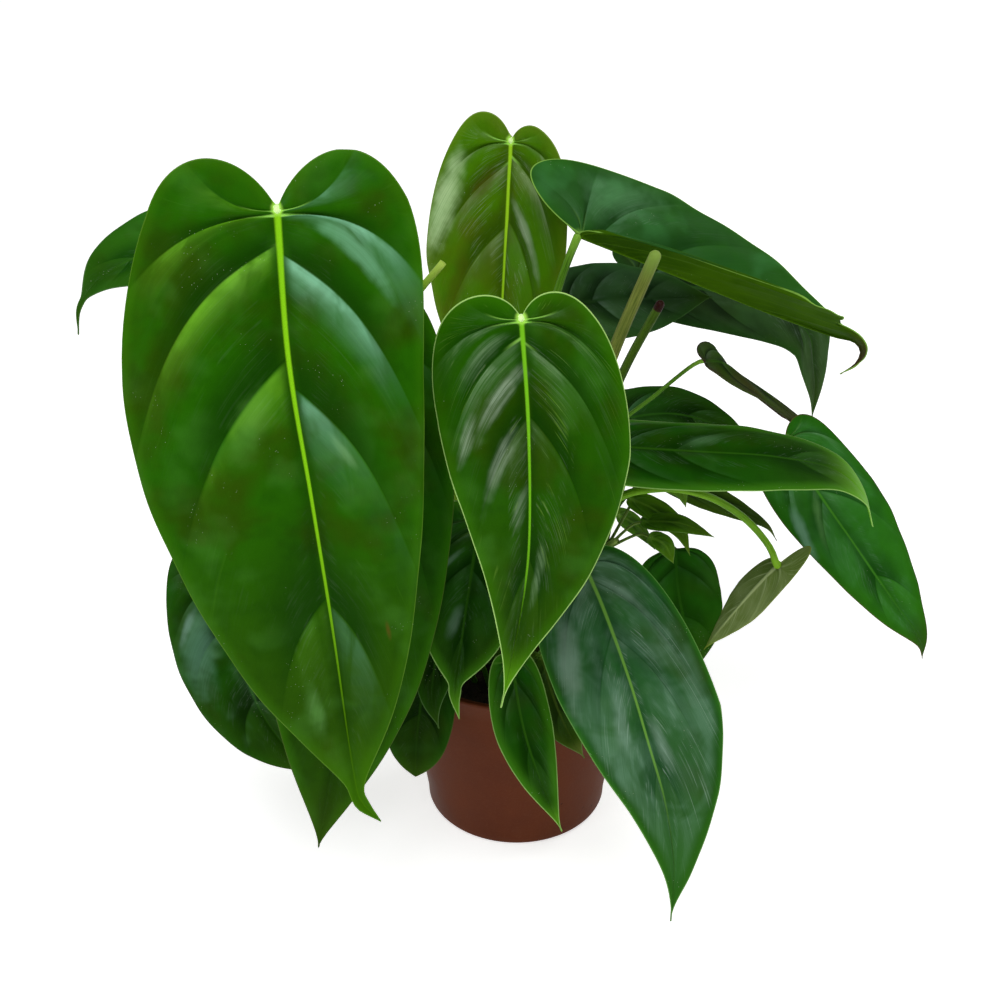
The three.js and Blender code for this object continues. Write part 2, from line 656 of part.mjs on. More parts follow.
const stemHoles = [
  ...LEAVES.map((leaf) => stalkGeometry(leaf, CLEARANCE)),
  ...SHOOTS.map((shoot) => shootGeometry(shoot, CLEARANCE)),
  seedlingStem(CLEARANCE),
];

const plant = new THREE.Group();
plant.add(named('pot', potGeometry(), 'pot'));
plant.add(named('soil', soilGeometry(stemHoles), 'soil'));
LEAVES.forEach((leaf) => {
  plant.add(named(leaf.name, bladeGeometry(leaf, keelDepth(leaf)), leaf.tone));
  plant.add(named(leaf.name.replace('leaf', 'stalk'), stalkGeometry(leaf), 'stem'));
});
SHOOTS.forEach((shoot) => {
  plant.add(named(shoot.name, shootGeometry(shoot), shoot.tone));
});
plant.add(named('seedling', seedlingGeometry(), 'olive'));

export default plant;
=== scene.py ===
import functools
import math

import bmesh
import bpy
import numpy as np
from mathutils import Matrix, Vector


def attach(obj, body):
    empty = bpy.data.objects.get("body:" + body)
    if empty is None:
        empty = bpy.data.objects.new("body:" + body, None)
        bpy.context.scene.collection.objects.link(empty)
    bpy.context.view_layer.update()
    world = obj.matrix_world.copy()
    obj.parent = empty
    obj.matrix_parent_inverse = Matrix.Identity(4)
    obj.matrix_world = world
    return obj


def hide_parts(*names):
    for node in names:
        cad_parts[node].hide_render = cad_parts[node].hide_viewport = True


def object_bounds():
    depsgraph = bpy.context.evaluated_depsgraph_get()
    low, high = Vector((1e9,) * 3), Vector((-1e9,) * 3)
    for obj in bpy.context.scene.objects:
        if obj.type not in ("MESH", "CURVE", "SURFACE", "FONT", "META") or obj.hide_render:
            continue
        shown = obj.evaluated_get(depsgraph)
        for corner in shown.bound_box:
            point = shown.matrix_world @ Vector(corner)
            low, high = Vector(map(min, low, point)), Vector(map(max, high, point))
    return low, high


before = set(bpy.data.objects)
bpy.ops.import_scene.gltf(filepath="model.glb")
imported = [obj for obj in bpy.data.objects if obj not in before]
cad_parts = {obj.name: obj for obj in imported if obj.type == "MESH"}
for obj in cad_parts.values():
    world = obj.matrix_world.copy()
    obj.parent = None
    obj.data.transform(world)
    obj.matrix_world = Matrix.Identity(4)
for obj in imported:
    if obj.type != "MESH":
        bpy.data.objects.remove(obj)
cad_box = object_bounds()

MM = 0.001
TURN = 2 * math.pi
SCENE = bpy.context.scene

# Sizes, in millimetres
BLADE_THICKNESS = 0.55
MARGIN_THICKNESS = 0.36
MARGIN_BULGE = 0.6
MARGIN_FADE = 4
MIDRIB_HEIGHT = 0.18
MIDRIB_HALF = 0.8
MIDRIB_COLUMNS = (0.45, 0.9, 1.5, 2.3)
KEEL_LIMITS = (0.5, 1.7)
CAD_KEEL_LIMITS = (0.6, 2)
SOIL_TOP = 88
SOIL_BOTTOM = 3
SOIL_EDGE_DROP = 1.6
STALK_FOOT = 2.7
STALK_TOP = 1.9
STALK_BEND = 5
STALK_DEPTH = 16
KNOB_RISE = 1.2
KNEE_LENGTH = 9
SHEATH_START = 14
SHEATH_LENGTH = 30

# Shares of a width, a length or a radius
KEEL_SHARE = 0.017
CAD_KEEL_SHARE = 0.02
RELIEF = 0.017
LOBE_TURN = 1 / 3
LOBE_MIDRIB = 0.012
RIB_SLANT = 1.7
RIB_SWEEP = 3.5
STALK_REACH = 0.34
STALK_THINNING = 0.05
KNEE_SWELL = 0.14
SHEATH_SWELL = 0.06

# Seeds
BLADE_SEED = 100
SMALL_BLADE_SEED = 300
SOIL_SEED = 5
LOOK_SEED_STEP = 7.3
YOUNG_LOOK_SEED = 91

POT = {
    "rim": 60, "base": 45, "height": 98, "wall": 1.4, "floor": 1.8, "lip_height": 2.4, "lip_width": 1.2,
    "bevel": 2.5, "foot_round": 2.6, "lip_round": 0.9, "drain_count": 8, "drain_ring": 31, "drain_radius": 4,
}

# In shares of a blade's length: lobe is the reach of the lobes behind the stalk and widest the place of
# the widest part. crown rounds the lobes, and taper and draw narrow the blade to its tip.
OUTLINES = {
    "heart": dict(lobe=0.083, crown=(1.38, 2.1), widest=0.21, taper=2.2, draw=1, veins=6),
    "shield": dict(lobe=0.07, crown=(1.9, 1.5), widest=0.3, taper=1.8, draw=1.5, veins=6),
    "lance": dict(lobe=0.05, crown=(1.6, 1.8), widest=0.34, taper=1.7, draw=1.3, veins=5),
    "round": dict(lobe=0.1, crown=(1.6, 1.8), widest=0.34, taper=2.4, draw=1, veins=5),
    "blunt": dict(lobe=0.06, crown=(1.6, 1.8), widest=0.4, taper=2.6, draw=0.8, veins=5),
    "sprig": dict(lobe=0.03, crown=(1.6, 1.8), widest=0.36, taper=1.8, draw=1.2, veins=4),
}

# Each leaf's outline and look, its width in millimetres, the way its upper side faces, and the points of
# its midrib. fold and curl are in degrees, for both halves or for the left and the right one. skew brings
# the midrib nearer to one margin, and twist rolls it between two shares of its length. shape and tint
# change the outline and the look. root is the stalk's place in the soil, and via are points on its way.
LEAVES = {
    "01": dict(
        look="fresh", sway=0.34, width=120, skew=0.17, face=(0, -0.8, 0.55),
        midrib=[(-94, -95, 367), (-90, -122, 316), (-83, -134, 260), (-77, -139, 200), (-71, -140, 122),
                (-69, -142, 112), (-60, -146, 103)], fold=20, curl=-40,
        shape=dict(lobe=0.072, taper=1.75, draw=0.9, drip=(0.95, 0.055)), root=(-14, -8)),
    "02": dict(
        outline="shield", look="fresh_streaked", width=77, skew=-0.08, face=(0, -0.85, 0.5),
        midrib=[(0, -100, 323), (3, -118, 281), (3, -128, 227), (-2, -131, 188), (-8, -130, 153)], fold=18,
        curl=-36, shape=dict(lobe=0.055, widest=(0.22, 0.3), shoulder=(1.15, 1.05), taper=1.6, draw=1.7),
        root=(2, -16)),
    "03": dict(
        outline="shield", look="olive", width=78, skew=0.1, face=(-0.35, -0.85, 0.5),
        midrib=[(-3, 72, 331), (-5, 58, 297), (-7, 48, 260), (-10, 40, 210), (-13, 36, 173)], fold=(8, 34),
        curl=(-25, -30), shape=dict(lobe=(0.075, 0.045)), root=(-2, 4)),
    "04": dict(
        look="arching", width=88, face=(0, 0.16, 0.99),
        midrib=[(27, 12, 310), (60, 14, 295), (92, 16, 280), (126, 14, 266), (146, 12, 259), (155, 8, 258),
                (158, 6, 254), (156, 4, 249), (148, 0, 245)], fold=(30, 43), curl=(-12, -10),
        shape=dict(lobe=(0, 0.15), widest=(0.6, 0.21), shoulder=(0.5, 1), taper=2, draw=1.1,
                   drip=(0.893, 0.05)), rise=0.5, root=(12, 6)),
    "05": dict(
        look="banded", width=44, face=(0, -0.6, 0.8),
        midrib=[(20, 48, 256), (43, 55, 257), (69, 62, 254), (95, 66, 253)], curl=-30, root=(8, 18)),
    "06": dict(
        tint=dict(body="#2c4c24", sheen_share=0.55), width=46, face=(0, -0.5, 0.85),
        midrib=[(58, 80, 258), (81, 80, 253), (112, 83, 244), (135, 84, 235), (147, 82, 224),
                (150, 80, 210), (152, 79, 195), (152, 78, 179)], shape=dict(taper=3), root=(16, 22)),
    "07": dict(
        outline="lance", look="purple_edged", width=24, face=(0.2, -0.77, 0.64),
        midrib=[(88, 20, 242), (97, 26, 238), (108, 31, 228), (119, 36, 218), (130, 40, 208),
                (151, 45, 188)], fold=(-30, -20), curl=0.1, twist=(-56, 0.02, 0.4),
        shape=dict(lobe=(0, 0.04), widest=(0.6, 0.34), shoulder=(0.5, 1.3)), root=(22, -2),
        via=[(39, -4, 210), (65, 9, 230)]),
    "08": dict(
        tint=dict(body="#1f4c10", sheen_share=0.55), width=40, face=(0.1, -0.4, 0.9),
        midrib=[(33, 20, 207), (77, 22, 212), (114, 14, 201)], fold=5, curl=-25, root=(21, 12)),
    "09": dict(
        look="deep_fresh", tint=dict(tip="#6cb028", tip_from=(0.66, 0.9), tip_share=0.8), width=50,
        face=(0.1, -0.15, 0.98),
        midrib=[(36, -36, 228), (82, -38, 226), (118, -36, 222), (144, -34, 214), (158, -32, 200),
                (165, -30, 181)], fold=6, curl=-24, shape=dict(lobe=0.075), root=(16, -12)),
    "10": dict(
        look="deep_red_edged", width=54, skew=-0.13, face=(0.35, -0.75, 0.55),
        midrib=[(130, 25, 197), (146, 16, 173), (166, 8, 146), (189, 2, 114), (203, 0, 94), (205, 0, 83)],
        curl=-25, shape=dict(lobe=0.05, widest=(0.21, 0.3), taper=1.8), root=(28, 6),
        via=[(39, -4, 174), (58, 4, 190), (96, 18, 194)]),
    "11": dict(
        outline="shield", look="bluish", width=70, skew=-0.04, face=(0.1, -0.8, 0.6),
        midrib=[(30, -45, 171), (38, -65, 161), (49, -92, 141), (57, -118, 124), (64, -136, 105),
                (68, -150, 79), (67, -158, 56)], fold=12, curl=-26,
        shape=dict(lobe=0.06, widest=(0.32, 0.47), crown=(1.4, 0.6), shoulder=(1.1, 0.92), taper=1.6),
        root=(12, -22)),
    "12": dict(
        outline="lance", look="deep_fresh", width=28, face=(0, -0.85, 0.5),
        midrib=[(-3, -62, 128), (2, -73, 100), (9, -82, 78), (21, -90, 48)], fold=14, root=(4, -32)),
    "13": dict(
        look="deep_fresh", tint=dict(body="#1f500c", sheen_share=0.4), width=48, face=(0.1, -0.85, 0.5),
        midrib=[(-18, -40, 191), (-22, -56, 168), (-26, -72, 146), (-29, -83, 124), (-27, -87, 113)],
        fold=14, shape=dict(widest=0.3, drip=(0.8, 0.12)), root=(-8, -22)),
    "14": dict(
        look="plain", tint=dict(body="#1c5000", rim="#3a7a04"), width=90, face=(0.1, -0.85, 0.5),
        midrib=[(-75, -45, 286), (-73, -62, 246), (-74, -78, 194), (-79, -90, 137), (-88, -96, 78),
                (-94, -98, 45)], fold=14, curl=-24, root=(-18, -14)),
    "15": dict(
        look="bluish_gloss", width=68, face=(-0.2, -0.8, 0.55),
        midrib=[(-134, -30, 163), (-133, -43, 137), (-126, -56, 105), (-113, -64, 82), (-97, -70, 66)],
        fold=14, curl=-24, root=(-26, -6)),
    "16": dict(
        tint=dict(body="#286410", valley="#103c04"), width=44, face=(0, -0.5, 0.85),
        midrib=[(-116, 25, 308), (-150, 2, 311), (-174, -18, 308), (-184, -32, 304), (-189, -38, 297),
                (-190, -41, 286)], shape=dict(taper=2.4, drip=(0.85, 0.06)), root=(-18, 6)),
    "17": dict(
        outline="blunt", look="plain", width=34, face=(-0.2, -0.85, 0.5),
        midrib=[(-42, -46, 128), (-45, -57, 107), (-48, -65, 83), (-49, -69, 64)], fold=(13, 10),
        shape=dict(draw=0.6), root=(-18, -24)),
    "18": dict(
        outline="lance", width=24, face=(0, -0.85, 0.5),
        midrib=[(-36, -50, 154), (-38, -60, 132), (-40, -70, 110), (-37, -74, 97)], fold=14,
        root=(-12, -28)),
    "19": dict(
        outline="lance", look="dull", width=28, face=(0, -0.85, 0.5),
        midrib=[(11, -52, 124), (18, -60, 101), (25, -64, 85), (32, -66, 73)], root=(14, -32)),
    "20": dict(
        outline="round", look="plain", tint=dict(body="#205a0c", valley="#103800"), width=44,
        face=(0.2, -0.8, 0.5), midrib=[(78, 11, 142), (80, 3, 122), (85, -6, 101), (89, -10, 82)],
        shape=dict(lobe=0.01), root=(41, -4)),
    "21": dict(
        outline="lance", look="pale", width=23, face=(0.3, 0.8, -0.5),
        midrib=[(126, -10, 147), (114, -14, 134), (107, -16, 125), (100, -17, 115), (92, -18, 102)],
        fold=(-10, 50), shape=dict(lobe=(0.26, 0.03)), stalk=0.9, root=(24, -14),
        via=[(44, -20, 188), (64, -22, 197), (85, -20, 193), (107, -14, 176), (121, -13, 158)]),
    "22": dict(
        outline="lance", look="dull", width=18, face=(0, -0.4, 0.9),
        midrib=[(70, 30, 172), (91, 32, 162), (112, 32, 151), (126, 30, 143), (131, 28, 136)],
        root=(30, 14), via=[(47, 18, 157), (60, 26, 170)]),
    "23": dict(
        outline="shield", width=60, face=(0, 0.8, 0.6),
        midrib=[(-8, 64, 165), (-10, 105, 140), (-12, 135, 95)], fold=12, curl=-24, root=(-4, 26)),
    "24": dict(
        width=60, face=(-0.5, 0.6, 0.6), midrib=[(-55, 45, 175), (-85, 75, 145), (-105, 105, 95)], fold=12,
        curl=-24, root=(-16, 18)),
    "25": dict(
        outline="shield", width=54, face=(0.4, 0.7, 0.6),
        midrib=[(55, 58, 155), (78, 95, 140), (95, 120, 105)], fold=12, curl=-24, root=(18, 30)),
}
# What a leaf has where its entry doesn't say
USUAL = dict(outline="heart", look="deep", fold=10, curl=-20, skew=0, twist=(0, 0, 1), shape={}, tint={})

SHOOTS = {
    "shoot_1": dict(
        look="tan", radius=(3.2, 2.8), route=[(7, -7), (20, -11, 180), (42, -15, 263), (59, -25, 318)]),
    "shoot_2": dict(
        look="red_tipped", radius=(2.4, 2.1),
        route=[(13, -3), (28, 0, 180), (48, 5, 242), (64.5, 0, 282.5)]),
    "shoot_3": dict(
        look="cut", radius=(2.2, 1.6),
        route=[(-10, 4), (-30, 3, 180), (-52, -14, 262), (-47, -22, 292), (-33, -20, 310.5)]),
}

SEEDLING = {
    "root": (37, 2),
    "stem": [(39, 2, 120), (43, 2, 148), (49, 0, 155)],
    "stem_radius": 1.7,
    "stalk_radius": 0.75,
    "leaves": [
        dict(width=12, face=(0, -0.3, 0.95), midrib=[(60, -3, 167), (77, -6, 168), (95, -6, 160)]),
        dict(width=14, face=(0.3, -0.5, 0.8),
             midrib=[(54, 5, 175), (66, 3, 170), (78, 0, 161), (84, -4, 148)]),
        dict(width=9, face=(0, -0.8, 0.5), midrib=[(63, -9, 162), (70, -12, 160), (75, -14, 150)]),
        dict(width=11, face=(0, -0.6, 0.8), midrib=[(68, 8, 183), (78, 8, 180), (82, 8, 168)]),
        dict(width=12, face=(0.4, -0.5, 0.7), midrib=[(49, 13, 161), (60, 19, 150), (69, 20, 136)]),
    ],
}


# Curves
def unit(v):
    return v / np.maximum(np.linalg.norm(v, axis=-1, keepdims=True), 1e-9)


def smoothstep(value, low, high):
    q = np.clip((value - low) / (high - low), 0, 1)
    return q * q * (3 - 2 * q)


def catmull(points, per=40):
    """Dense points of a centripetal Catmull-Rom curve."""
    points = np.array(points, float)
    ends = np.vstack([2 * points[0] - points[1], points, 2 * points[-1] - points[-2]])
    s = np.linspace(0, 1, per, endpoint=False)[:, None]
    dense = []
    for i in range(len(points) - 1):
        p0, p1, p2, p3 = ends[i:i + 4]
        d0, d1, d2 = (np.linalg.norm(b - a) ** 0.5 for a, b in ((p0, p1), (p1, p2), (p2, p3)))
        t1 = ((p1 - p0) / d0 - (p2 - p0) / (d0 + d1) + (p2 - p1) / d1) * d1
        t2 = ((p2 - p1) / d1 - (p3 - p1) / (d1 + d2) + (p3 - p2) / d2) * d1
        square = 3 * (p2 - p1) - 2 * t1 - t2
        cube = 2 * (p1 - p2) + t1 + t2
        dense.append(p1 + t1 * s + square * s ** 2 + cube * s ** 3)
    return np.vstack([*dense, points[-1:]])


def bezier(a, b, c, d, count=160):
    s = np.linspace(0, 1, count + 1)[:, None]
    return (1 - s) ** 3 * a + 3 * (1 - s) ** 2 * s * b + 3 * (1 - s) * s ** 2 * c + s ** 3 * d


def read_table(x, shares, table):
    return np.stack([np.interp(x, shares, table[:, k]) for k in range(3)], axis=-1)


class Path:
    """A dense line of points, read by share of its length."""

    def __init__(self, dense):
        self.points = dense
        steps = np.linalg.norm(np.diff(dense, axis=0), axis=1)
        self.lengths = np.concatenate([[0], np.cumsum(steps)])
        self.length = self.lengths[-1]

    def place(self, share):
        return read_table(np.clip(share, 0, 1) * self.length, self.lengths, self.points)

    def tangent(self, share, step=0.004):
        return unit(self.place(np.minimum(share + step, 1)) - self.place(np.maximum(share - step, 0)))


class Midrib:
    """The midrib with a frame along it: T to the tip, N out of the upper side, S to its right."""

    def __init__(self, leaf, steps=160):
        path = Path(catmull(leaf["midrib"]))
        self.length = path.length
        self.shares = np.linspace(0, 1, steps + 1)
        self.P = path.place(self.shares)
        self.T = path.tangent(self.shares)
        roll, start, stop = leaf["twist"]
        normal = np.array(leaf["face"], float)
        self.N = np.zeros_like(self.T)
        for k, (share, along) in enumerate(zip(self.shares, self.T)):
            normal = unit(normal - along * (normal @ along))
            turn = math.radians(roll) * smoothstep(share, start, stop)
            self.N[k] = normal * math.cos(turn) + np.cross(along, normal) * math.sin(turn)
        self.S = np.cross(self.N, self.T)

    def at(self, x):
        P, T, N, S = (read_table(x, self.shares, table) for table in (self.P, self.T, self.N, self.S))
        T, N, S = unit(T), unit(N), unit(S)
        P = P + T * (np.minimum(0, x) * self.length)[..., None]
        return P, T, N, S


# Blades: t runs along each half from the lobes to the tip, and v from the midrib to 1 at the right
# margin and -1 at the left one
def for_side(value, side):
    """A value on one half, where there may be one for each."""
    left, right = np.ravel(value)[[0, -1]]
    return np.where(side < 0, left, right)


def body_width(outline, q):
    return (1 - q ** outline["taper"]) ** outline["draw"] * np.sqrt(np.maximum(0, 1 - q ** 8))


def margin_point(outline, t, side):
    lobe, widest, shoulder = (for_side(outline.get(key, 1), side) for key in ("lobe", "widest", "shoulder"))
    q = np.clip(t / LOBE_TURN, 0, 1)
    b1, b2, b3 = 3 * (1 - q) ** 2 * q, 3 * (1 - q) * q ** 2, q ** 3
    lobe_x = widest * b3 - lobe * (outline["crown"][0] * b1 + outline["crown"][1] * b2)
    lobe_y = 0.2 * b1 + shoulder * b2 + b3
    p = np.clip((t - LOBE_TURN) / (1 - LOBE_TURN), 0, 1)
    body_x = widest + (1 - widest) * p
    if "drip" in outline:
        start, half = outline["drip"]
        tail = half * np.minimum(1, (1 - p) / (1 - start))
        body_y = (body_width(outline, np.minimum(1, p / start)) ** 4 + tail ** 4) ** 0.25
    else:
        body_y = body_width(outline, p)
    lobed = t <= LOBE_TURN
    return np.where(lobed, lobe_x, body_x), np.where(lobed, lobe_y, body_y)


def rib_point(outline, t, v, side):
    edge_x, edge_y = margin_point(outline, t, side)
    lobe_part = np.minimum(1, t / LOBE_TURN)
    body_part = np.clip((t - LOBE_TURN) / (1 - LOBE_TURN), 0, 1)
    start = LOBE_MIDRIB * lobe_part ** 2 + (1 - LOBE_MIDRIB) * body_part ** RIB_SLANT
    straight = np.clip(6 * body_part, 0, 1)
    sweep = (1 - straight) * v ** 2.6 + straight * (v + v ** RIB_SWEEP) / 2
    return start + (edge_x - start) * sweep, edge_y * v


def rib_phase(outline, t, side, seed):
    """Veins passed so far on one half; they don't stand quite opposite each other."""
    sway = np.sin(TURN * 0.8 * t + seed + 1.9 * side)
    return outline["veins"] * t + 0.43 * np.abs(np.sin(math.pi * t)) ** 2.5 + 0.35 * sway * t * (1 - t)


def swell(outline, t, v, side, seed):
    """Sharp valleys at the veins, and swells between them that are steeper on the stalk's side."""
    phase = rib_phase(outline, t, side, seed)
    crest = 2 * np.abs(np.sin(math.pi * (phase % 1) ** 0.7)) ** 0.75 - 1
    strength = (0.3 + 0.7 * smoothstep(t, 0.12, 0.36)) * np.minimum(1, 4 * (1 - t))
    strength = strength * (0.8 + 0.3 * np.sin(2.3 * phase + seed + side)) * smoothstep(v, -0.02, 0.14)
    return crest * np.sin(math.pi * np.clip(v, 0, 1) ** 0.6) * strength


def grid_normals(points, faces):
    normals = np.zeros_like(points)
    for corners in ((0, 1, 2), (0, 2, 3)):
        a, b, c = (points[faces[:, k]] for k in corners)
        cross = np.cross(b - a, c - a)
        for k in range(4):
            np.add.at(normals, faces[:, k], cross)
    return unit(normals)


def line_distance(points, line):
    """How far each point lies from a line of points."""
    nearest = np.full(len(points), np.inf)
    for a, b in zip(line[:-1], line[1:]):
        along = b - a
        share = np.clip((points - a) @ along / max(along @ along, 1e-9), 0, 1)
        nearest = np.minimum(nearest, np.linalg.norm(points - a - share[:, None] * along, axis=1))
    return nearest


def distinct(face):
    """A face's corners without repeats, where several meet in one point."""
    return tuple(dict.fromkeys(k for n, k in enumerate(face) if k != face[n - 1]))


class Blade:
    """A closed blade: its upper side is a grid of rows and columns that ends in a point at each end."""

    def __init__(self, leaf, seed, rows_per_vein, columns):
        self.leaf = leaf
        self.outline = {**OUTLINES[leaf["outline"]], **leaf["shape"]}
        self.rib = Midrib(leaf)
        self.half = leaf["width"] / 2
        self.waves = np.random.default_rng(seed).uniform(0, TURN, 6)
        self.sway = leaf.get("sway", self.waves[4])
        self.t = self.row_places(rows_per_vein)
        self.v = self.column_places(columns)
        self.rows, self.columns = len(self.t), len(self.v)
        self.grid = self.surface(self.t[:, None], self.v[None, :])
        self.sheet = self.per_point(self.grid)
        self.margins = [[self.at(i, j) for i in range(self.rows)] for j in (0, self.columns - 1)]

    def row_places(self, per_vein):
        t = np.linspace(0, 1, self.outline["veins"] * per_vein + 1)
        return np.sort(np.concatenate([t, [t[1] / 2, (1 + t[-2]) / 2, (3 + t[-2]) / 4]]))

    def column_places(self, count):
        near = np.array(MIDRIB_COLUMNS) / self.half
        right = np.concatenate([near, np.linspace(near[-1], 1, count + 1)[1:]])
        return np.concatenate([-right[::-1], [0], right])

    def per_point(self, table):
        """The grid's values, with one alone for each of the two ends."""
        centre = self.columns // 2
        inner = table[1:-1].reshape(-1, *table.shape[2:])
        return np.concatenate([table[:1, centre], inner, table[-1:, centre]])

    def at(self, i, j):
        """The number of the point in row i and column j."""
        if i == 0:
            return 0
        return len(self.sheet) - 1 if i == self.rows - 1 else 1 + (i - 1) * self.columns + j

    def lean(self, x, side):
        """The share of its half width that a half has, where the midrib isn't in the middle."""
        return 1 - side * self.leaf["skew"] * np.sin(math.pi * np.clip(x, 0, 1))

    def wave(self, t, v):
        """Ripples at the margins, and low waves of the whole blade."""
        edge = np.abs(v) ** 3 * np.minimum(1, 6 * t) * np.minimum(1, 5 * (1 - t))
        hand = np.where(v < 0, self.waves[0], self.waves[1])
        ripple = np.sin(TURN * 3.1 * t + hand) + 0.6 * np.sin(TURN * 7.3 * t + 2 * hand)
        broad = np.sin(4 * t + self.waves[2]) * np.sin(3 * v + self.waves[3])
        return self.leaf["width"] * (0.006 * edge * ripple + 0.004 * broad * np.abs(v))

    def surface(self, t, v):
        side = np.sign(v) + 0 * t
        w = np.abs(v) + 0 * t
        t = t + 0 * v
        x, y = rib_point(self.outline, t, w, side)
        P, _, N, S = self.rib.at(x)
        fold, curl = (np.radians(for_side(self.leaf[key], side)) for key in ("fold", "curl"))
        half = self.half * self.lean(x, side)
        angle = fold + curl * y
        across = half * (np.sin(angle) - np.sin(fold)) / curl
        up = half * (np.cos(fold) - np.cos(angle)) / curl
        lift = swell(self.outline, t, w, side, self.sway) * self.leaf["width"] * RELIEF + self.wave(t, v)
        point = P + S * (side * (across - lift * np.sin(angle)))[..., None]
        return point + N * (up + lift * np.cos(angle))[..., None]

    def measures(self):
        """Each point's t, v, place along the midrib, and distances in millimetres."""
        t = np.concatenate([[0], np.repeat(self.t[1:-1], self.columns), [1]])
        v = np.concatenate([[0], np.tile(self.v, self.rows - 2), [0]])
        x, y = rib_point(self.outline, t, np.abs(v), v)
        from_mid = self.half * y * self.lean(x, np.sign(v))
        from_edge = np.minimum(*(line_distance(self.sheet, self.sheet[line]) for line in self.margins))
        from_base = np.linalg.norm(self.sheet - self.sheet[0], axis=1)
        return t, v, np.clip(x, 0, 1), from_mid, from_edge, from_base

    def skins(self, quads, along, from_mid, from_edge):
        """Points of the upper side with its raised midrib, and of the lower side with its keel."""
        keel = np.clip(self.leaf["width"] * KEEL_SHARE, *KEEL_LIMITS) * (1 - along ** 1.5)
        keel_shape = np.exp(-(from_mid / (0.9 * np.maximum(keel, 0.3))) ** 2)
        spare = (BLADE_THICKNESS - MARGIN_THICKNESS) * np.minimum(1, from_edge / MARGIN_FADE)
        rise = MIDRIB_HEIGHT * np.exp(-(from_mid / MIDRIB_HALF) ** 2) * (1 - along)
        normals = grid_normals(self.sheet, quads)
        bottom = self.sheet - normals * (MARGIN_THICKNESS + spare + keel * keel_shape)[:, None]
        return self.sheet + normals * rise[:, None], bottom

    def rim(self, top, bottom):
        """The outermost points of the left and the right margin."""
        points = []
        for line, edge, inward in zip(self.margins, (0, -1), (1, -2)):
            out = unit(self.grid[:, edge] - self.grid[:, inward])
            out[[0, -1]] = 0
            points.append((top[line] + bottom[line]) / 2 + out * MARGIN_THICKNESS * MARGIN_BULGE)
        return np.vstack(points)

    def faces(self, quads):
        low, rim = len(self.sheet), 2 * len(self.sheet)
        left, right = self.margins
        faces = [tuple(quad) for quad in quads]
        faces += [tuple(k + low for k in quad[::-1]) for quad in quads]
        for i in range(self.rows - 1):
            for line, first, j, k in ((left, rim, i, i + 1), (right, rim + self.rows, i + 1, i)):
                a, b = line[j], line[k]
                faces += [(a, first + j, first + k, b), (first + j, a + low, b + low, first + k)]
        return [face for face in map(distinct, faces) if len(face) > 2]

    def mesh(self):
        """Points, faces and the values that the material reads."""
        at = self.at
        quads = np.array([
            (at(i, j), at(i + 1, j), at(i + 1, j + 1), at(i, j + 1))
            for i in range(self.rows - 1) for j in range(self.columns - 1)
        ])
        t, v, along, from_mid, from_edge, from_base = self.measures()
        top, bottom = self.skins(quads, along, from_mid, from_edge)
        rim = self.rim(top, bottom)
        phase = rib_phase(self.outline, t, np.sign(v), self.sway)
        gap = np.linalg.norm(np.gradient(self.grid, self.t, axis=0), axis=2) / self.outline["veins"]

        def columns(*values):
            table = np.stack(values, axis=1)
            return np.vstack([table, table, table[self.margins[0] + self.margins[1]]])

        values = {
            "rib": columns(phase, v, 0 * v),
            "span": columns(from_mid, from_edge, from_base),
            "pitch": columns(self.per_point(gap), along, 0 * v),
        }
        values["rib"][len(top):, 2] = 1
        values["rib"][2 * len(top):, 2] = 0.5
        return np.vstack([top, bottom, rim]), self.faces(quads), values


# Rods
def ring_faces(rings, sides, first=0):
    """Faces between rings of points, one ring after the other."""
    faces = []
    for i in range(rings - 1):
        for j in range(sides):
            a, b = first + i * sides + j, first + i * sides + (j + 1) % sides
            faces.append((a, b, b + sides, a + sides))
    return faces


def dome_steps(shares, reach):
    """A rod's steps with closer ones over its round end, and the radius at each."""
    back = np.array([1.1, 0.9, 0.7, 0.5, 0.33, 0.18, 0.07, 0.0])
    shares = np.concatenate([shares[shares < 1 - 1.3 * reach], 1 - back * reach])
    dome = np.sqrt(np.maximum(0, 1 - (1 - back / back[0]) ** 2))
    scale = np.concatenate([np.ones(len(shares) - len(back)), np.maximum(dome, 0.04)])
    return shares, scale


def rod_mesh(path, radius_at, sides=14, steps=60, domed=False, groove=0.0):
    shares = np.linspace(0, 1, steps + 1)
    scale = np.ones(steps + 1)
    if domed:
        shares, scale = dome_steps(shares, radius_at(np.array([1.0]))[0] / path.length)
    places = path.place(shares)
    across = np.array([1.0, 0, 0])
    turns = TURN * np.arange(sides) / sides
    shape = 1 - groove * np.exp(-((turns - math.pi / 2) / 0.5) ** 2)
    points = []
    for place, axis, radius in zip(places, path.tangent(shares), radius_at(shares) * scale):
        across = unit(across - axis * (across @ axis))
        other = np.cross(axis, across)
        ring = np.cos(turns)[:, None] * across + np.sin(turns)[:, None] * other
        points.append(place + ring * (radius * shape)[:, None])
    count = len(shares)
    points = np.vstack([*points, places[:1], places[-1:]])
    faces = ring_faces(count, sides)
    first, last = count * sides, count * sides + 1
    for j in range(sides):
        k = (j + 1) % sides
        faces.append((first, k, j))
        faces.append((last, (count - 1) * sides + j, (count - 1) * sides + k))
    share = np.concatenate([np.repeat(shares, sides), [0, 1]])
    turn = np.concatenate([np.tile(turns, count), [0, 0]])
    values = {
        "rod": np.stack([share * path.length, np.cos(turn), np.sin(turn)], axis=1),
        "reach": np.stack([share, share, share], axis=1),
    }
    return points, faces, values


def stalk_rise(leaf, knob):
    """How far a stalk's end stands above the blade, or under zero how far below it."""
    keel = np.clip(leaf["width"] * CAD_KEEL_SHARE, *CAD_KEEL_LIMITS)
    return KNOB_RISE if knob else leaf.get("rise", -0.2 - keel)


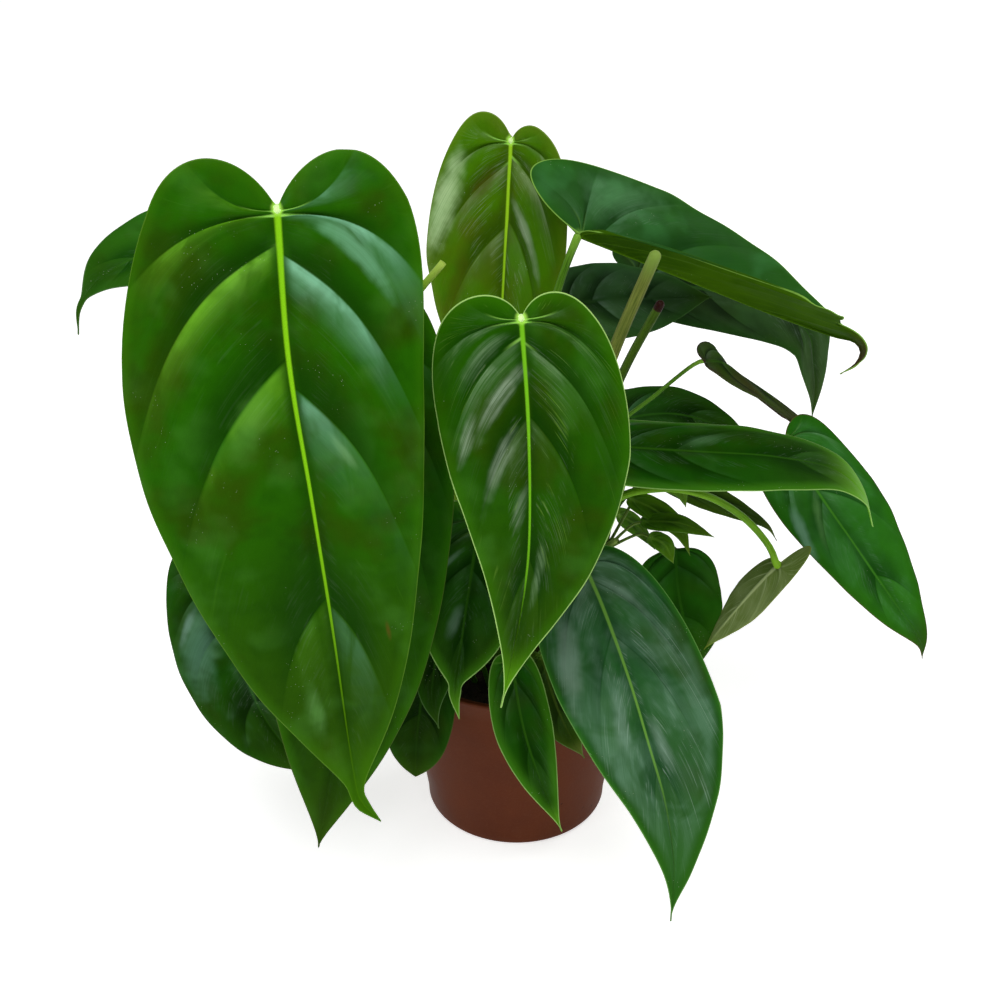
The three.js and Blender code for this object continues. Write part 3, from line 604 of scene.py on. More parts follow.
def rooted(root, points):
    """A curve from the end of a plain hole in the soil up through its points."""
    return Path(catmull([(*root, SOIL_TOP - STALK_DEPTH), (*root, SOIL_TOP), *points]))


def stalk_path(leaf, rise):
    rib = Midrib(leaf)
    normal = rib.N[0]
    end = rib.P[0] + normal * rise
    if "via" in leaf:
        return rooted(leaf["root"], [*leaf["via"], end - normal * STALK_BEND, end])
    foot = np.array([*leaf["root"], SOIL_TOP - STALK_DEPTH], float)
    reach = np.linalg.norm(end - foot) * STALK_REACH
    return Path(bezier(foot, foot + [0, 0, reach], end - normal * reach, end))


def stalk_radius(size, length):
    """A stalk's radius by share of its length: it tapers up, with a sheath at its foot and a knee."""
    def radius(share):
        plain = size * (STALK_FOOT + (STALK_TOP - STALK_FOOT) * share)
        knee = np.exp(-((1 - share) * length / KNEE_LENGTH) ** 2)
        sheath = np.exp(-(np.maximum(share * length - SHEATH_START, 0) / SHEATH_LENGTH) ** 2)
        return plain * (1 + KNEE_SWELL * knee + SHEATH_SWELL * sheath - STALK_THINNING)
    return radius


# Pieces
def merge(parts):
    """One mesh from several: points, faces and the values that they share."""
    points, faces, values = [], [], {}
    offset = 0
    total = sum(len(p) for p, _, _ in parts)
    for p, f, v in parts:
        for name, table in v.items():
            values.setdefault(name, np.zeros((total, 3)))[offset:offset + len(p)] = table
        points.append(p)
        faces += [tuple(k + offset for k in face) for face in f]
        offset += len(p)
    return np.vstack(points), faces, values


def add_object(name, data):
    obj = bpy.data.objects.new(name, data)
    SCENE.collection.objects.link(obj)
    return obj


def make_object(name, mesh_data, material):
    points, faces, values = mesh_data
    mesh = bpy.data.meshes.new(name)
    low, high = (np.array(corner) for corner in cad_box)
    mesh.from_pydata(np.clip(points * MM, low, high).tolist(), [], faces)
    for key, table in values.items():
        attribute = mesh.attributes.new(key, "FLOAT_VECTOR", "POINT")
        attribute.data.foreach_set("vector", np.ascontiguousarray(table, np.float32).ravel())
    mesh.validate()
    mesh.polygons.foreach_set("use_smooth", [True] * len(mesh.polygons))
    mesh.materials.append(material)
    return add_object(name, mesh)


def settle(piece, node):
    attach(piece, "root")
    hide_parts(node)


# Material graphs
def rgb(code):
    """A linear colour from a hex code."""
    parts = [int(code[k:k + 2], 16) / 255 for k in (1, 3, 5)]
    return (*(p / 12.92 if p <= 0.04045 else ((p + 0.055) / 1.055) ** 2.4 for p in parts), 1)


class Graph:
    """A material's nodes. Each call adds some and returns what they give."""

    def __init__(self, name):
        self.material = bpy.data.materials.new(name)
        self.material.use_nodes = True
        self.tree = self.material.node_tree
        self.place = self.node("TexCoord").outputs["Object"]

    def put(self, socket, value):
        if isinstance(value, bpy.types.NodeSocket):
            self.tree.links.new(value, socket)
        else:
            socket.default_value = value

    def node(self, kind, *values, **settings):
        node = self.tree.nodes.new("ShaderNode" + kind)
        for key, value in settings.items():
            setattr(node, key, value)
        for socket, value in zip(node.inputs, values):
            self.put(socket, value)
        return node

    def shade(self, **inputs):
        names = {"color": "Base Color", "specular": "Specular IOR Level"}
        shader = self.tree.nodes["Principled BSDF"]
        for key, value in inputs.items():
            self.put(shader.inputs[names.get(key, key.replace("_", " ").title())], value)
        return self.material

    def math(self, operation, *values):
        return self.node("Math", *values, operation=operation).outputs[0]

    def times(self, *factors):
        return functools.reduce(lambda a, b: self.math("MULTIPLY", a, b), factors)

    def plus(self, *terms):
        return functools.reduce(lambda a, b: self.math("ADD", a, b), terms)

    def mix(self, factor, a, b):
        node = self.node("Mix", factor, data_type="RGBA")
        self.put(node.inputs[6], a)
        self.put(node.inputs[7], b)
        return node.outputs[2]

    def ramp(self, value, low, high, to_low=0, to_high=1):
        node = self.node("MapRange", value, low, high, to_low, to_high, interpolation_type="SMOOTHSTEP")
        return node.outputs[0]

    def attribute(self, name):
        vector = self.node("Attribute", attribute_name=name).outputs["Vector"]
        return self.node("SeparateXYZ", vector).outputs[:3]

    def combine(self, x, y, z):
        return self.node("CombineXYZ", x, y, z).outputs[0]

    def read(self, kind, **inputs):
        node = self.node(kind)
        for key, value in inputs.items():
            self.put(node.inputs[key], value)
        return node.outputs[0]

    def noise(self, vector, scale, detail=2, rough=0.5, distortion=0):
        shape = dict(Scale=scale, Detail=detail, Roughness=rough, Distortion=distortion)
        return self.read("TexNoise", Vector=vector, **shape)

    def cells(self, vector, scale):
        return self.read("TexVoronoi", Vector=vector, Scale=scale)

    def bump(self, height, strength, distance):
        return self.read("Bump", Strength=strength, Distance=distance, Height=height)


def changed(look, **changes):
    return {**look, **changes}


# Looks of the blades. body is the main green, and warm a second tone in broad patches that grows towards the
# tip, where, darker than the body, it is partly painted shade. The dark green is painted shade on the side
# of each swell that falls away to the next vein, in the vein grooves and beside the midrib, and also colours
# random dark mottles. The two sheen colours, one for each half, are a painted highlight on the lit side of
# each swell. The pale bluish colour inside the margins is partly a film and partly painted sheen, line the
# fine lines along the ribs, and the grey streak colour painted highlights in streaks, in patches. rim
# colours the outer millimetres, edge the thin margin line, and under the lower side.
FRESH = dict(
    body="#1f5600", valley="#0c3200", warm="#264000", warm_share=0.85, sheen="#7fbf98",
    sheen_left="#68aa1c", sheen_share=0.85, band=0.46, grain=0.85, bloom="#5c8a6a", bloom_share=0.0,
    blot="#4f8a34", blot_share=0.15, line="#5f9a2c", line_share=0.05, gloss="#a9c09c", gloss_share=0.02,
    shine=0.1, rim="#3a7206", rim_width=6, rim_share=0.3, tip="#3a6a04", tip_share=0.7,
    tip_from=(0.78, 0.97), rib="#7cbc14", rib_share=1.0, rib_width=(1.9, 0.35), knob=1.0, edge="#6f9a30",
    edge_share=0.3, under="#4f7a1c", under_vein="#769a44", rough=0.4,
)
DEEP = changed(
    FRESH, body="#123a02", valley="#061e00", warm="#263c02", warm_share=0.6, sheen="#4f8060",
    sheen_left="#44743c", sheen_share=0.4, blot="#3c6a2c", blot_share=0.2, line="#4f7c40", line_share=0.06,
    gloss="#94aa9c", gloss_share=0.08, shine=0.2, rim="#245a0c", tip="#2f4c08", tip_share=0.6,
    rib="#3c7420", rib_share=0.3, rib_width=(1.1, 0.5), knob=0.15, edge="#6c8f58", under="#3f6418",
    under_vein="#5f8838",
)
PLAIN = changed(DEEP, sheen_share=0.12, rib_share=0.15, knob=0.0, gloss_share=0.02, edge="#5a5a30")
LOOKS = {
    "fresh": FRESH,
    "fresh_streaked": changed(
        FRESH, body="#1e4e00", valley="#0a3000", sheen="#4a8030", sheen_left="#6f9660", sheen_share=0.45,
        grain=0.3, line="#7faa40", line_share=0.2, gloss="#b9cab0", gloss_share=0.06, edge="#a5cc72",
        edge_share=0.9, rim="#3a7804", rough=0.34, shine=0.4, rib="#6cb01c", rib_width=(1.4, 0.25),
        tip="#5c9a0c"),
    "olive": changed(
        FRESH, body="#3e6e02", valley="#284602", warm="#4a5404", warm_share=0.4, sheen="#8aa272",
        sheen_left="#8fa878", sheen_share=0.4, blot="#46480a", blot_share=0.4, line="#8aa04c",
        line_share=0.1, gloss_share=0.2, grain=0.7, rib_width=(1.4, 0.7), rim="#66861f", rib="#8fc020",
        edge="#8aa04c", edge_share=0.5, rough=0.34, shine=0.3),
    "deep": DEEP,
    "plain": PLAIN,
    "deep_fresh": changed(
        DEEP, body="#164a04", valley="#0a2c00", sheen_share=0.18, rim="#3f7c14", rim_share=0.6,
        tip="#5f9c20", tip_share=0.7, tip_from=(0.8, 0.99), rib="#4a8420", rib_share=0.2, edge="#94bc68",
        edge_share=0.7),
    "deep_red_edged": changed(
        DEEP, body="#246410", valley="#0e3a06", warm="#2c6c08", rib="#448424", rib_share=0.7,
        edge="#6c4030", edge_share=0.45, sheen="#5f9a5c", sheen_left="#6a9c74", sheen_share=0.6, band=0.6,
        bloom="#4f8a52", bloom_share=0.22, blot="#1c4a10", blot_share=0.45),
    "purple_edged": changed(
        PLAIN, body="#30500c", warm="#442c18", edge="#3c2428", edge_share=0.8, rim="#2f2c20", rim_share=0.4,
        under="#34441a", under_vein="#4c5a28"),
    "banded": changed(
        DEEP, body="#3a6238", valley="#0c280a", sheen="#8aa696", sheen_left="#8aa696", sheen_share=0.55,
        band=0.75, rib_share=0.0, knob=0.0, edge_share=0.1),
    "bluish": changed(
        DEEP, body="#1a5218", valley="#0e3a14", sheen="#6c9480", sheen_left="#7a9c8a", bloom="#668c72",
        bloom_share=0.52, line="#9ab4a2", line_share=0.35, gloss_share=0.25, rim="#2f6c1c", rim_width=3,
        rim_share=0.6, rib="#72a640", rib_share=0.75, rib_width=(1.3, 0.4), edge="#7fb05c", edge_share=0.5,
        rough=0.36, tip="#285c14", tip_share=0.7, tip_from=(0.6, 0.86)),
    "bluish_gloss": changed(
        DEEP, body="#164804", sheen="#4f7c58", sheen_left="#4f7c58", sheen_share=0.2, blot="#5f8f60",
        blot_share=0.3, rough=0.3, gloss_share=0.04, edge="#4a3430"),
    "arching": changed(
        DEEP, body="#23501c", valley="#10360a", sheen="#53845a", sheen_left="#53845a", blot="#3c7c40",
        blot_share=0.35, warm="#235a04", rib_share=0.0, under="#2c4e02", under_vein="#4a7208",
        edge="#86b44c", edge_share=0.8, tip="#54402a", tip_share=0.85, tip_from=(0.84, 0.93)),
    "pale": changed(
        DEEP, under="#5c7230", under_vein="#a0ae7a", edge="#7f8f2c", edge_share=0.4, tip="#5a7a10"),
    "dull": changed(
        DEEP, body="#33500c", valley="#162a04", rim="#4c6614", rib="#60742a", sheen_share=0.2, rough=0.45,
        tip="#6c7a34"),
    "young": changed(
        DEEP, body="#4c7c10", valley="#2a4c08", warm="#546c0c", rim="#5f9418", rib="#7aa43c",
        sheen_share=0.15, under="#55701a", under_vein="#7a943c", rough=0.45, tip="#6c8c14"),
}


class LeafGraph(Graph):
    """A blade's material: the body's colour is covered layer by layer."""

    def __init__(self, name, look, seed, veins):
        super().__init__(name)
        self.look = look
        self.seed = seed
        self.body = rgb(look["body"])
        self.phase, self.v, self.under = self.attribute("rib")
        self.from_mid, self.from_edge, self.from_base = self.attribute("span")
        self.pitch, self.along, _ = self.attribute("pitch")
        self.out = self.math("ABSOLUTE", self.v)
        # the lobes' veins are faint
        self.strong = self.ramp(self.phase, 0.12 * veins, 0.38 * veins, 0.3, 1)
        self.patch = self.ramp(self.noise(self.lane(1.7, 2.4, 0), 1, 3, 0.55, 0.6), 0.36, 0.62)
        self.fine = self.noise(self.lane(26, 1.5, 5), 1, 3, 0.65, 0.3)
        self.finest = self.noise(self.lane(70, 3.5, 9), 1, 2, 0.6, 0.4)
        self.cloud = self.noise(self.place, 30, 3, 0.55)
        self.clots = self.noise(self.place, 95, 2, 0.6)

    def lane(self, across, outward, shift):
        """Places along the ribs, so that bands and lines run with the veins."""
        return self.combine(self.times(self.phase, across), self.times(self.v, outward), self.seed + shift)

    def cover(self, mask, colour):
        """Covers the body with a colour, given by its name in the look, its code or a socket."""
        if isinstance(colour, str):
            colour = rgb(self.look.get(colour, colour))
        self.body = self.mix(mask, self.body, colour)

    def layer(self, mask, name):
        """Covers the body with one of the look's colours by its own share."""
        self.cover(self.times(mask, self.look[name + "_share"]), name)


def paint_clouds(g):
    # warm colour in broad patches and growing towards the tip; where it is darker than the body, the part
    # towards the tip is partly painted shade on the hanging lower blade
    g.layer(g.math("MAXIMUM", g.ramp(g.cloud, 0.42, 0.68), g.ramp(g.along, 0.3, 0.8, 0, 0.8)), "warm")
    g.layer(g.ramp(g.noise(g.place, 42, 2, 0.55, 0.2), 0.5, 0.7), "blot")
    # random dark mottles, in the dark green that elsewhere is painted shade
    g.cover(g.ramp(g.clots, 0.4, 0.75, 0, 0.25), "valley")


def paint_swells(g):
    """Each swell gets a painted highlight where it rises out of the vein, and painted shade where it falls
    away to the next one.
    """
    within = g.math("FRACT", g.phase)
    g.inner = g.times(g.ramp(g.out, 0, 0.1), g.ramp(g.out, 0.5, 0.97, 1, 0.12), g.strong)
    # painted shade on the side of each swell that falls away to the next vein
    g.cover(g.times(g.ramp(within, 0.5, 0.98), g.inner, 0.8), "valley")
    lit = g.plus(g.ramp(within, 0.03, 0.2, 0.45, 0), g.ramp(within, 0.04, g.look["band"], 0.55, 0))
    broken = g.times(g.ramp(g.patch, 0, 1, 0.35, 1), g.ramp(g.clots, 0.3, 0.6, 0.7, 1))
    grain = g.ramp(g.fine, 0.3, 0.6, g.look["grain"], 1)
    fading = g.ramp(g.along, 0.08, 0.45, 1, 0.14)
    g.lit = g.times(lit, g.ramp(within, 0, 0.03), g.inner, broken, grain, fading)
    # painted highlight on the lit side of each swell, in its own colour on each half
    sheen = g.mix(g.ramp(g.v, -0.03, 0.03), rgb(g.look["sheen_left"]), rgb(g.look["sheen"]))
    g.cover(g.times(g.lit, g.look["sheen_share"]), sheen)


def paint_bloom(g):
    """A bluish film inside the margins that is partly painted sheen, the fresher outer rim, and painted
    shade beside the midrib.
    """
    clear = g.ramp(g.noise(g.place, 36, 3, 0.6, 0.6), 0.38, 0.6, 0.25, 1)
    film = g.times(g.ramp(g.from_edge, 1.5, 6), g.ramp(g.patch, 0, 1, 0.6, 1), clear)
    # bluish film in patches inside the margins, partly painted sheen
    g.layer(g.times(film, g.ramp(g.finest, 0.3, 0.6, 0.75, 1)), "bloom")
    g.layer(g.ramp(g.from_edge, 0, g.look["rim_width"], 1, 0), "rim")
    # painted shade along both sides of the midrib
    g.cover(g.ramp(g.from_mid, 1, 6, 0.35, 0), "valley")


def paint_lines(g):
    """Fine lines along the ribs, and painted grey highlights in streaks."""
    lines = g.times(g.ramp(g.fine, 0.6, 0.68), g.ramp(g.out, 0.08, 0.32), g.ramp(g.patch, 0.3, 0.9))
    g.layer(g.times(lines, g.ramp(g.from_edge, 0.5, 5)), "line")
    streaks = g.times(g.ramp(g.finest, 0.5, 0.66), g.ramp(g.fine, 0.4, 0.6, 0.2, 1))
    g.streak = g.times(streaks, g.ramp(g.patch, 0.45, 1), g.inner)
    # painted grey highlights in streaky patches
    g.layer(g.streak, "gloss")


def paint_veins(g):
    """Lateral veins with painted shade in their grooves, pale where they meet at the base."""
    near = g.times(g.math("ABSOLUTE", g.math("SUBTRACT", g.phase, g.math("ROUND", g.phase))), g.pitch)
    g.vein = g.times(g.ramp(near, 0.1, 0.8, 1, 0), g.ramp(g.out, 0.3, 1, 1, 0.1), g.strong)
    # painted shade in the vein grooves
    g.cover(g.times(g.vein, 0.45), "valley")
    star = g.ramp(near, 0.1, 1.2, 1, 0)
    g.cover(g.times(star, g.ramp(g.from_base, 3, 16, g.look["knob"], 0)), "#94d058")


# One patch from the spot table; the pale ones are painted sheen and highlights
def paint_spot(g, at_v, at_phase, size_v, size_phase, share, colour):
    across = g.math("DIVIDE", g.math("SUBTRACT", g.v, at_v), size_v)
    down = g.math("DIVIDE", g.math("SUBTRACT", g.phase, at_phase), size_phase)
    far = g.math("SQRT", g.plus(g.times(across, across), g.times(down, down)))
    far = g.plus(far, g.times(g.clots, 0.8))
    grain = g.ramp(g.fine, 0.35, 0.6, g.look["grain"], 1)
    g.cover(g.times(g.ramp(far, 0.5, 1.4, share, 0), grain), colour)


def paint_midrib(g):
    """The midrib is wide at the stalk and fine at the tip, with a pale knob where the stalk joins."""
    top_width, low_width = g.look["rib_width"]
    narrowing = g.times(g.math("POWER", g.math("MAXIMUM", g.along, 0), 0.5), low_width - top_width)
    place = g.math("DIVIDE", g.from_mid, g.plus(narrowing, top_width))
    g.midrib = g.times(g.ramp(place, 0.4, 1.2, 1, 0), g.ramp(g.along, 0.35, 0.97, 1, 0.1))
    g.layer(g.midrib, "rib")
    g.cover(g.ramp(g.from_base, 1.2, 3.4, g.look["knob"], 0), "#a4dc54")


def paint_lower_side(g):
    lower = rgb(g.look["under"])
    clouds = g.ramp(g.cloud, 0.35, 0.7, 0, 0.5)
    lines = g.ramp(g.fine, 0.5, 0.7, 0, 0.5)
    for mask in (clouds, lines, g.math("MAXIMUM", g.times(g.vein, 0.7), g.midrib)):
        lower = g.mix(mask, lower, rgb(g.look["under_vein"]))
    g.cover(g.ramp(g.under, 0.35, 0.65), lower)


def paint_ends(g):
    """The tip, the thin margin line, and specks of dust and scale."""
    g.layer(g.ramp(g.along, *g.look["tip_from"]), "tip")
    g.layer(g.ramp(g.from_edge, 0.1, 0.5, 1, 0), "edge")
    speck = g.ramp(g.cells(g.place, 700), 0.04, 0.11, 1, 0)
    g.cover(g.times(speck, g.ramp(g.noise(g.place, 60, 1), 0.6, 0.68), 0.55), "#d5e2c4")


def leaf_material(name, look, seed, veins, spots=()):
    g = LeafGraph(name, look, seed, veins)
    for paint in (paint_clouds, paint_swells, paint_bloom, paint_lines, paint_veins):
        paint(g)
    for spot in spots:
        paint_spot(g, *spot)
    for paint in (paint_midrib, paint_lower_side, paint_ends):
        paint(g)
    shine = g.plus(g.times(g.lit, look["shine"]), g.times(g.streak, 0.3 * look["shine"]), 0.02)
    rough = g.plus(g.ramp(g.fine, 0.35, 0.7, 0, 0.14), look["rough"], g.times(g.under, 0.2))
    rough = g.plus(rough, g.ramp(g.patch, 0, 1, 0.08, 0))
    height = g.plus(g.times(g.fine, 0.5 + look["line_share"]), g.times(g.finest, 0.35))
    height = g.plus(height, g.times(g.vein, -0.5), g.times(g.clots, 0.7))
    return g.shade(color=g.body, roughness=rough, normal=g.bump(height, 0.25, 0.0006), specular=shine)


def stalk_material(name, base, light, tip, speckle=0.3, rough=0.42, tip_from=(0.93, 1)):
    g = Graph(name)
    along, turn_x, turn_y = g.attribute("rod")
    reach = g.attribute("reach")[0]
    lane = g.combine(g.times(along, 0.02), g.times(turn_x, 2.2), g.times(turn_y, 2.2))
    streaks = g.noise(lane, 3.2, 3, 0.6)
    cloud = g.noise(g.place, 55, 3)
    body = g.mix(g.ramp(streaks, 0.32, 0.7), rgb(base), rgb(light))
    body = g.mix(g.ramp(cloud, 0.4, 0.75, 0, 0.35), body, rgb(base))
    body = g.mix(g.ramp(reach, *tip_from), body, rgb(tip))
    dots = g.ramp(g.cells(g.combine(g.times(along, 0.35), turn_x, turn_y), 4), 0.12, 0.3, 1, 0)
    body = g.mix(g.times(dots, speckle), body, rgb(light))
    bump = g.bump(g.plus(streaks, g.times(dots, 0.25)), 0.25, 0.0006)
    rough = g.ramp(streaks, 0.3, 0.7, rough - 0.05, rough + 0.12)
    return g.shade(color=body, roughness=rough, normal=bump, specular=0.1)


def pot_material():
    g = Graph("pot_plastic")
    cloud = g.noise(g.place, 22, 4, 0.6)
    grain = g.noise(g.place, 900, 2, 0.6)
    nicks = g.ramp(g.cells(g.place, 130), 0.05, 0.13, 1, 0)
    nicks = g.times(nicks, g.ramp(g.noise(g.place, 30), 0.6, 0.66))
    dust = g.ramp(g.noise(g.place, 70, 5, 0.65), 0.55, 0.85, 0, 0.1)
    body = g.mix(g.ramp(cloud, 0.3, 0.72), rgb("#4e230f"), rgb("#582a14"))
    body = g.mix(g.ramp(grain, 0.45, 0.75, 0, 0.14), body, rgb("#643c26"))
    body = g.mix(g.times(nicks, 0.8), body, rgb("#24120c"))
    body = g.mix(dust, body, rgb("#74523c"))
    bump = g.bump(g.plus(grain, g.times(nicks, -2)), 0.2, 0.0003)
    return g.shade(color=body, roughness=g.ramp(cloud, 0.3, 0.7, 0.42, 0.58), normal=bump, specular=0.05)


def soil_material():
    g = Graph("potting_mix")
    cloud = g.noise(g.place, 90, 5, 0.7)
    fibre = g.noise(g.place, 520, 4, 0.7)
    body = g.mix(g.ramp(cloud, 0.35, 0.7), rgb("#0e0a08"), rgb("#2a1d14"))
    body = g.mix(g.ramp(fibre, 0.58, 0.8, 0, 0.6), body, rgb("#4a3524"))
    return g.shade(color=body, roughness=0.9, normal=g.bump(g.plus(fibre, cloud), 0.7, 0.0015), specular=0.2)


# Camera, floor and light
CAMERA = {"place": (-8.4, -775.2, 654.2), "down": 31.6, "lens": 68.4, "sensor": 36, "far": 50}
FLOOR = {"half": 8, "drop": 0.0005, "color": (0.85, 0.85, 0.85, 1), "glow": 0.62}
WORLD_LIGHT = 0.3
# Each light's place, target and size in metres, and its power in watts
LIGHTS = {
    "softbox": ((-0.1, -0.75, 1.55), (0, -0.05, 0.2), (1.3, 0.9), 17),
    "front_left": ((-1.3, -1.2, 0.8), (0, 0, 0.2), (0.7, 0.9), 5),
    "right_back": ((1.2, 0.7, 1.2), (0, 0, 0.2), (0.7, 0.9), 7),
}


def build_camera():
    data = bpy.data.cameras.new("camera")
    data.lens = CAMERA["lens"]
    data.sensor_width = CAMERA["sensor"]
    data.clip_end = CAMERA["far"]
    camera = add_object("camera", data)
    camera.location = Vector(CAMERA["place"]) * MM
    camera.rotation_euler = (math.radians(90 - CAMERA["down"]), 0, 0)
    SCENE.camera = camera


def build_floor():
    half, z = FLOOR["half"], -FLOOR["drop"]
    mesh = bpy.data.meshes.new("floor")
    corners = [(-half, -half, z), (half, -half, z), (half, half, z), (-half, half, z)]
    mesh.from_pydata(corners, [], [(0, 1, 2, 3)])
    mesh.materials.append(Graph("floor_matte").shade(
        color=FLOOR["color"], roughness=0.9, specular=0.05,
        emission_color=(1, 1, 1, 1), emission_strength=FLOOR["glow"],
    ))
    add_object("floor", mesh)


def build_lights():
    world = bpy.data.worlds.new("studio")
    world.use_nodes = True
    background = world.node_tree.nodes["Background"]
    background.inputs[0].default_value = (1, 1, 1, 1)
    background.inputs[1].default_value = WORLD_LIGHT
    SCENE.world = world
    SCENE.view_settings.view_transform = "Standard"
    for name, (place, target, size, power) in LIGHTS.items():
        data = bpy.data.lights.new(name, "AREA")
        data.shape = "RECTANGLE"
        data.size, data.size_y = size
        data.energy = power
        light = add_object(name, data)
        light.location = place
        light.rotation_euler = (Vector(target) - Vector(place)).to_track_quat("-Z", "Y").to_euler()


# The plant
# Patches on the blades: v, veins passed, the size in both, strength and colour. The pale ones are painted
# sheen and highlights, the brown ones the leaf's own stains, and the dark ones a deeper green.
SPOTS = {
    "01": [(-0.7, 5.27, 0.2, 0.16, 0.4, "#5c9048"), (0.85, 4.67, 0.04, 0.05, 0.55, "#5c3c14"),
           (0.42, 4.1, 0.16, 0.06, 0.3, "#7fae78"), (-0.35, 4.1, 0.24, 0.18, 0.3, "#5f9440"),
           (0.5, 2.4, 0.38, 0.22, 0.5, "#74b088")],
    "02": [(-0.42, 2.73, 0.35, 0.25, 0.25, "#8fae86"), (-0.35, 3.5, 0.45, 0.22, 0.45, "#a9bda4"),
           (-0.8, 3.32, 0.16, 0.2, 0.35, "#b0c4aa"), (-0.5, 4.0, 0.4, 0.16, 0.35, "#a0b49a"),
           (-0.3, 4.5, 0.3, 0.14, 0.25, "#a0b49a"), (0.45, 4.95, 0.2, 0.3, 0.35, "#7f9f74")],
    "03": [(-0.34, 3.06, 0.3, 0.35, 0.6, "#403c06"), (-0.79, 3.94, 0.3, 0.3, 0.5, "#424004"),
           (-0.8, 2.34, 0.3, 0.9, 0.85, "#a8c690"), (0.45, 3.72, 0.4, 0.16, 0.5, "#a9bda0")],
    "04": [(0.6, 2.5, 0.5, 0.9, 0.35, "#5f9464"), (0.57, 4.27, 0.4, 0.4, 0.5, "#1a4a1a")],
    "09": [(0.37, 4.1, 0.35, 0.25, 0.3, "#5f8f60")],
    "10": [(-0.85, 3.2, 0.25, 0.4, 0.6, "#7aa48c"), (-0.4, 3.9, 0.4, 0.2, 0.4, "#6a9c58")],
    "11": [(-0.74, 3.1, 0.3, 0.6, 0.5, "#86a090"), (-0.56, 4.4, 0.3, 0.25, 0.35, "#7f9c8c"),
           (0.3, 4.05, 0.25, 0.3, 0.6, "#24502c"), (0.3, 2.9, 0.35, 0.2, 0.4, "#86a490"),
           (-0.25, 4.0, 0.2, 0.4, 0.6, "#1f5a20"), (0.4, 4.75, 0.3, 0.2, 0.35, "#86a090")],
    "13": [(-0.5, 3.52, 0.3, 0.18, 0.35, "#86a890"), (-0.43, 4.68, 0.35, 0.2, 0.3, "#7f9f8c")],
    "15": [(-0.66, 3.8, 0.4, 0.8, 0.5, "#5f8f74"), (-0.7, 3.3, 0.2, 0.2, 0.35, "#86a89c")],
}


def grid_steps(width):
    """Rows to a vein and columns to a half: a broad blade has more."""
    if width > 65:
        return 22, 30
    return (16, 18) if width > 38 else (12, 10)


def build_leaf(number, name, leaf, stalk_materials):
    look = {**LOOKS[leaf["look"]], **leaf["tint"]}
    veins = OUTLINES[leaf["outline"]]["veins"]
    material = leaf_material("blade_" + name, look, LOOK_SEED_STEP * number, veins, SPOTS.get(name, ()))
    blade = Blade(leaf, BLADE_SEED + number, *grid_steps(leaf["width"])).mesh()
    piece = make_object("blade_" + name, blade, material)
    settle(piece, "leaf_" + name)

    knob = look["knob"] > 0.5
    rise = stalk_rise(leaf, knob)
    path = stalk_path(leaf, rise)
    radius = stalk_radius(leaf.get("stalk", 0.35 + leaf["width"] * 0.007), path.length)
    stalk = rod_mesh(path, radius, domed=rise > 0, groove=0.12)
    colour = "knobbed" if knob else "lime" if leaf["look"] == "pale" else "green"
    settle(make_object("petiole_" + name, stalk, stalk_materials[colour]), "stalk_" + name)


def build_leaves():
    stalk_materials = {
        "green": stalk_material("stalk_green", "#2c5408", "#5a8a1c", "#76a434"),
        "knobbed": stalk_material("stalk_knobbed", "#2c5408", "#5f9020", "#d8f7a8"),
        "lime": stalk_material("stalk_lime", "#4c7c08", "#78ac20", "#86b82c"),
    }
    for number, (name, leaf) in enumerate(LEAVES.items()):
        build_leaf(number, name, {**USUAL, **leaf}, stalk_materials)


def build_shoots():
    materials = {
        "tan": stalk_material("shoot_tan", "#4c5c1c", "#7a8238", "#76923c", speckle=0.5, rough=0.5),
        "red_tipped": stalk_material(
            "shoot_red_tipped", "#30480c", "#4c6c14", "#260806", tip_from=(0.975, 0.979)),
        "cut": stalk_material("shoot_cut", "#5f8c14", "#8cb430", "#a4c050", speckle=0.5),
    }
    for name, shoot in SHOOTS.items():
        low, high = shoot["radius"]
        path = rooted(shoot["route"][0], shoot["route"][1:])
        rod = rod_mesh(path, lambda share: low + (high - low) * share, domed=shoot["look"] != "cut")
        piece = make_object("bud_" + name[-1], rod, materials[shoot["look"]])
        settle(piece, name)


def build_seedling():
    stem, stem_radius, stalk_width = SEEDLING["stem"], SEEDLING["stem_radius"], SEEDLING["stalk_radius"]
    path = rooted(SEEDLING["root"], stem)
    twigs = [rod_mesh(path, lambda share: stem_radius + 0 * share, sides=12, steps=30, domed=True)]
    blades = []
    for number, small in enumerate(SEEDLING["leaves"]):
        leaf = {**USUAL, "outline": "sprig", **small}
        rib = Midrib(leaf)
        point, along, normal = rib.P[0], rib.T[0], rib.N[0]
        path = Path(catmull([stem[-2], point - 4 * along - 2 * normal, point + along - 0.3 * normal]))
        twigs.append(rod_mesh(path, lambda share: stalk_width * (1.15 - 0.3 * share), sides=8, steps=20))
        blades.append(Blade(leaf, SMALL_BLADE_SEED + number, 6, 5).mesh())
    material = stalk_material("twig_green", "#4f6a28", "#7f9a44", "#93ab58")
    settle(make_object("side_plant_stems", merge(twigs), material), "seedling")
    veins = OUTLINES["sprig"]["veins"]
    material = leaf_material("side_plant_blade", LOOKS["young"], YOUNG_LOOK_SEED, veins)
    settle(make_object("side_plant_blades", merge(blades), material), "seedling")


# Pot
def outer_radius(z):
    return POT["base"] + (POT["rim"] - POT["lip_width"] - POT["base"]) * z / POT["height"]


def inner_radius(z):
    return outer_radius(z) - POT["wall"]


def arc(centre, radius, start, stop, count=5):
    turns = np.radians(np.linspace(start, stop, count))
    return [(centre[0] + radius * math.cos(a), centre[1] + radius * math.sin(a)) for a in turns]


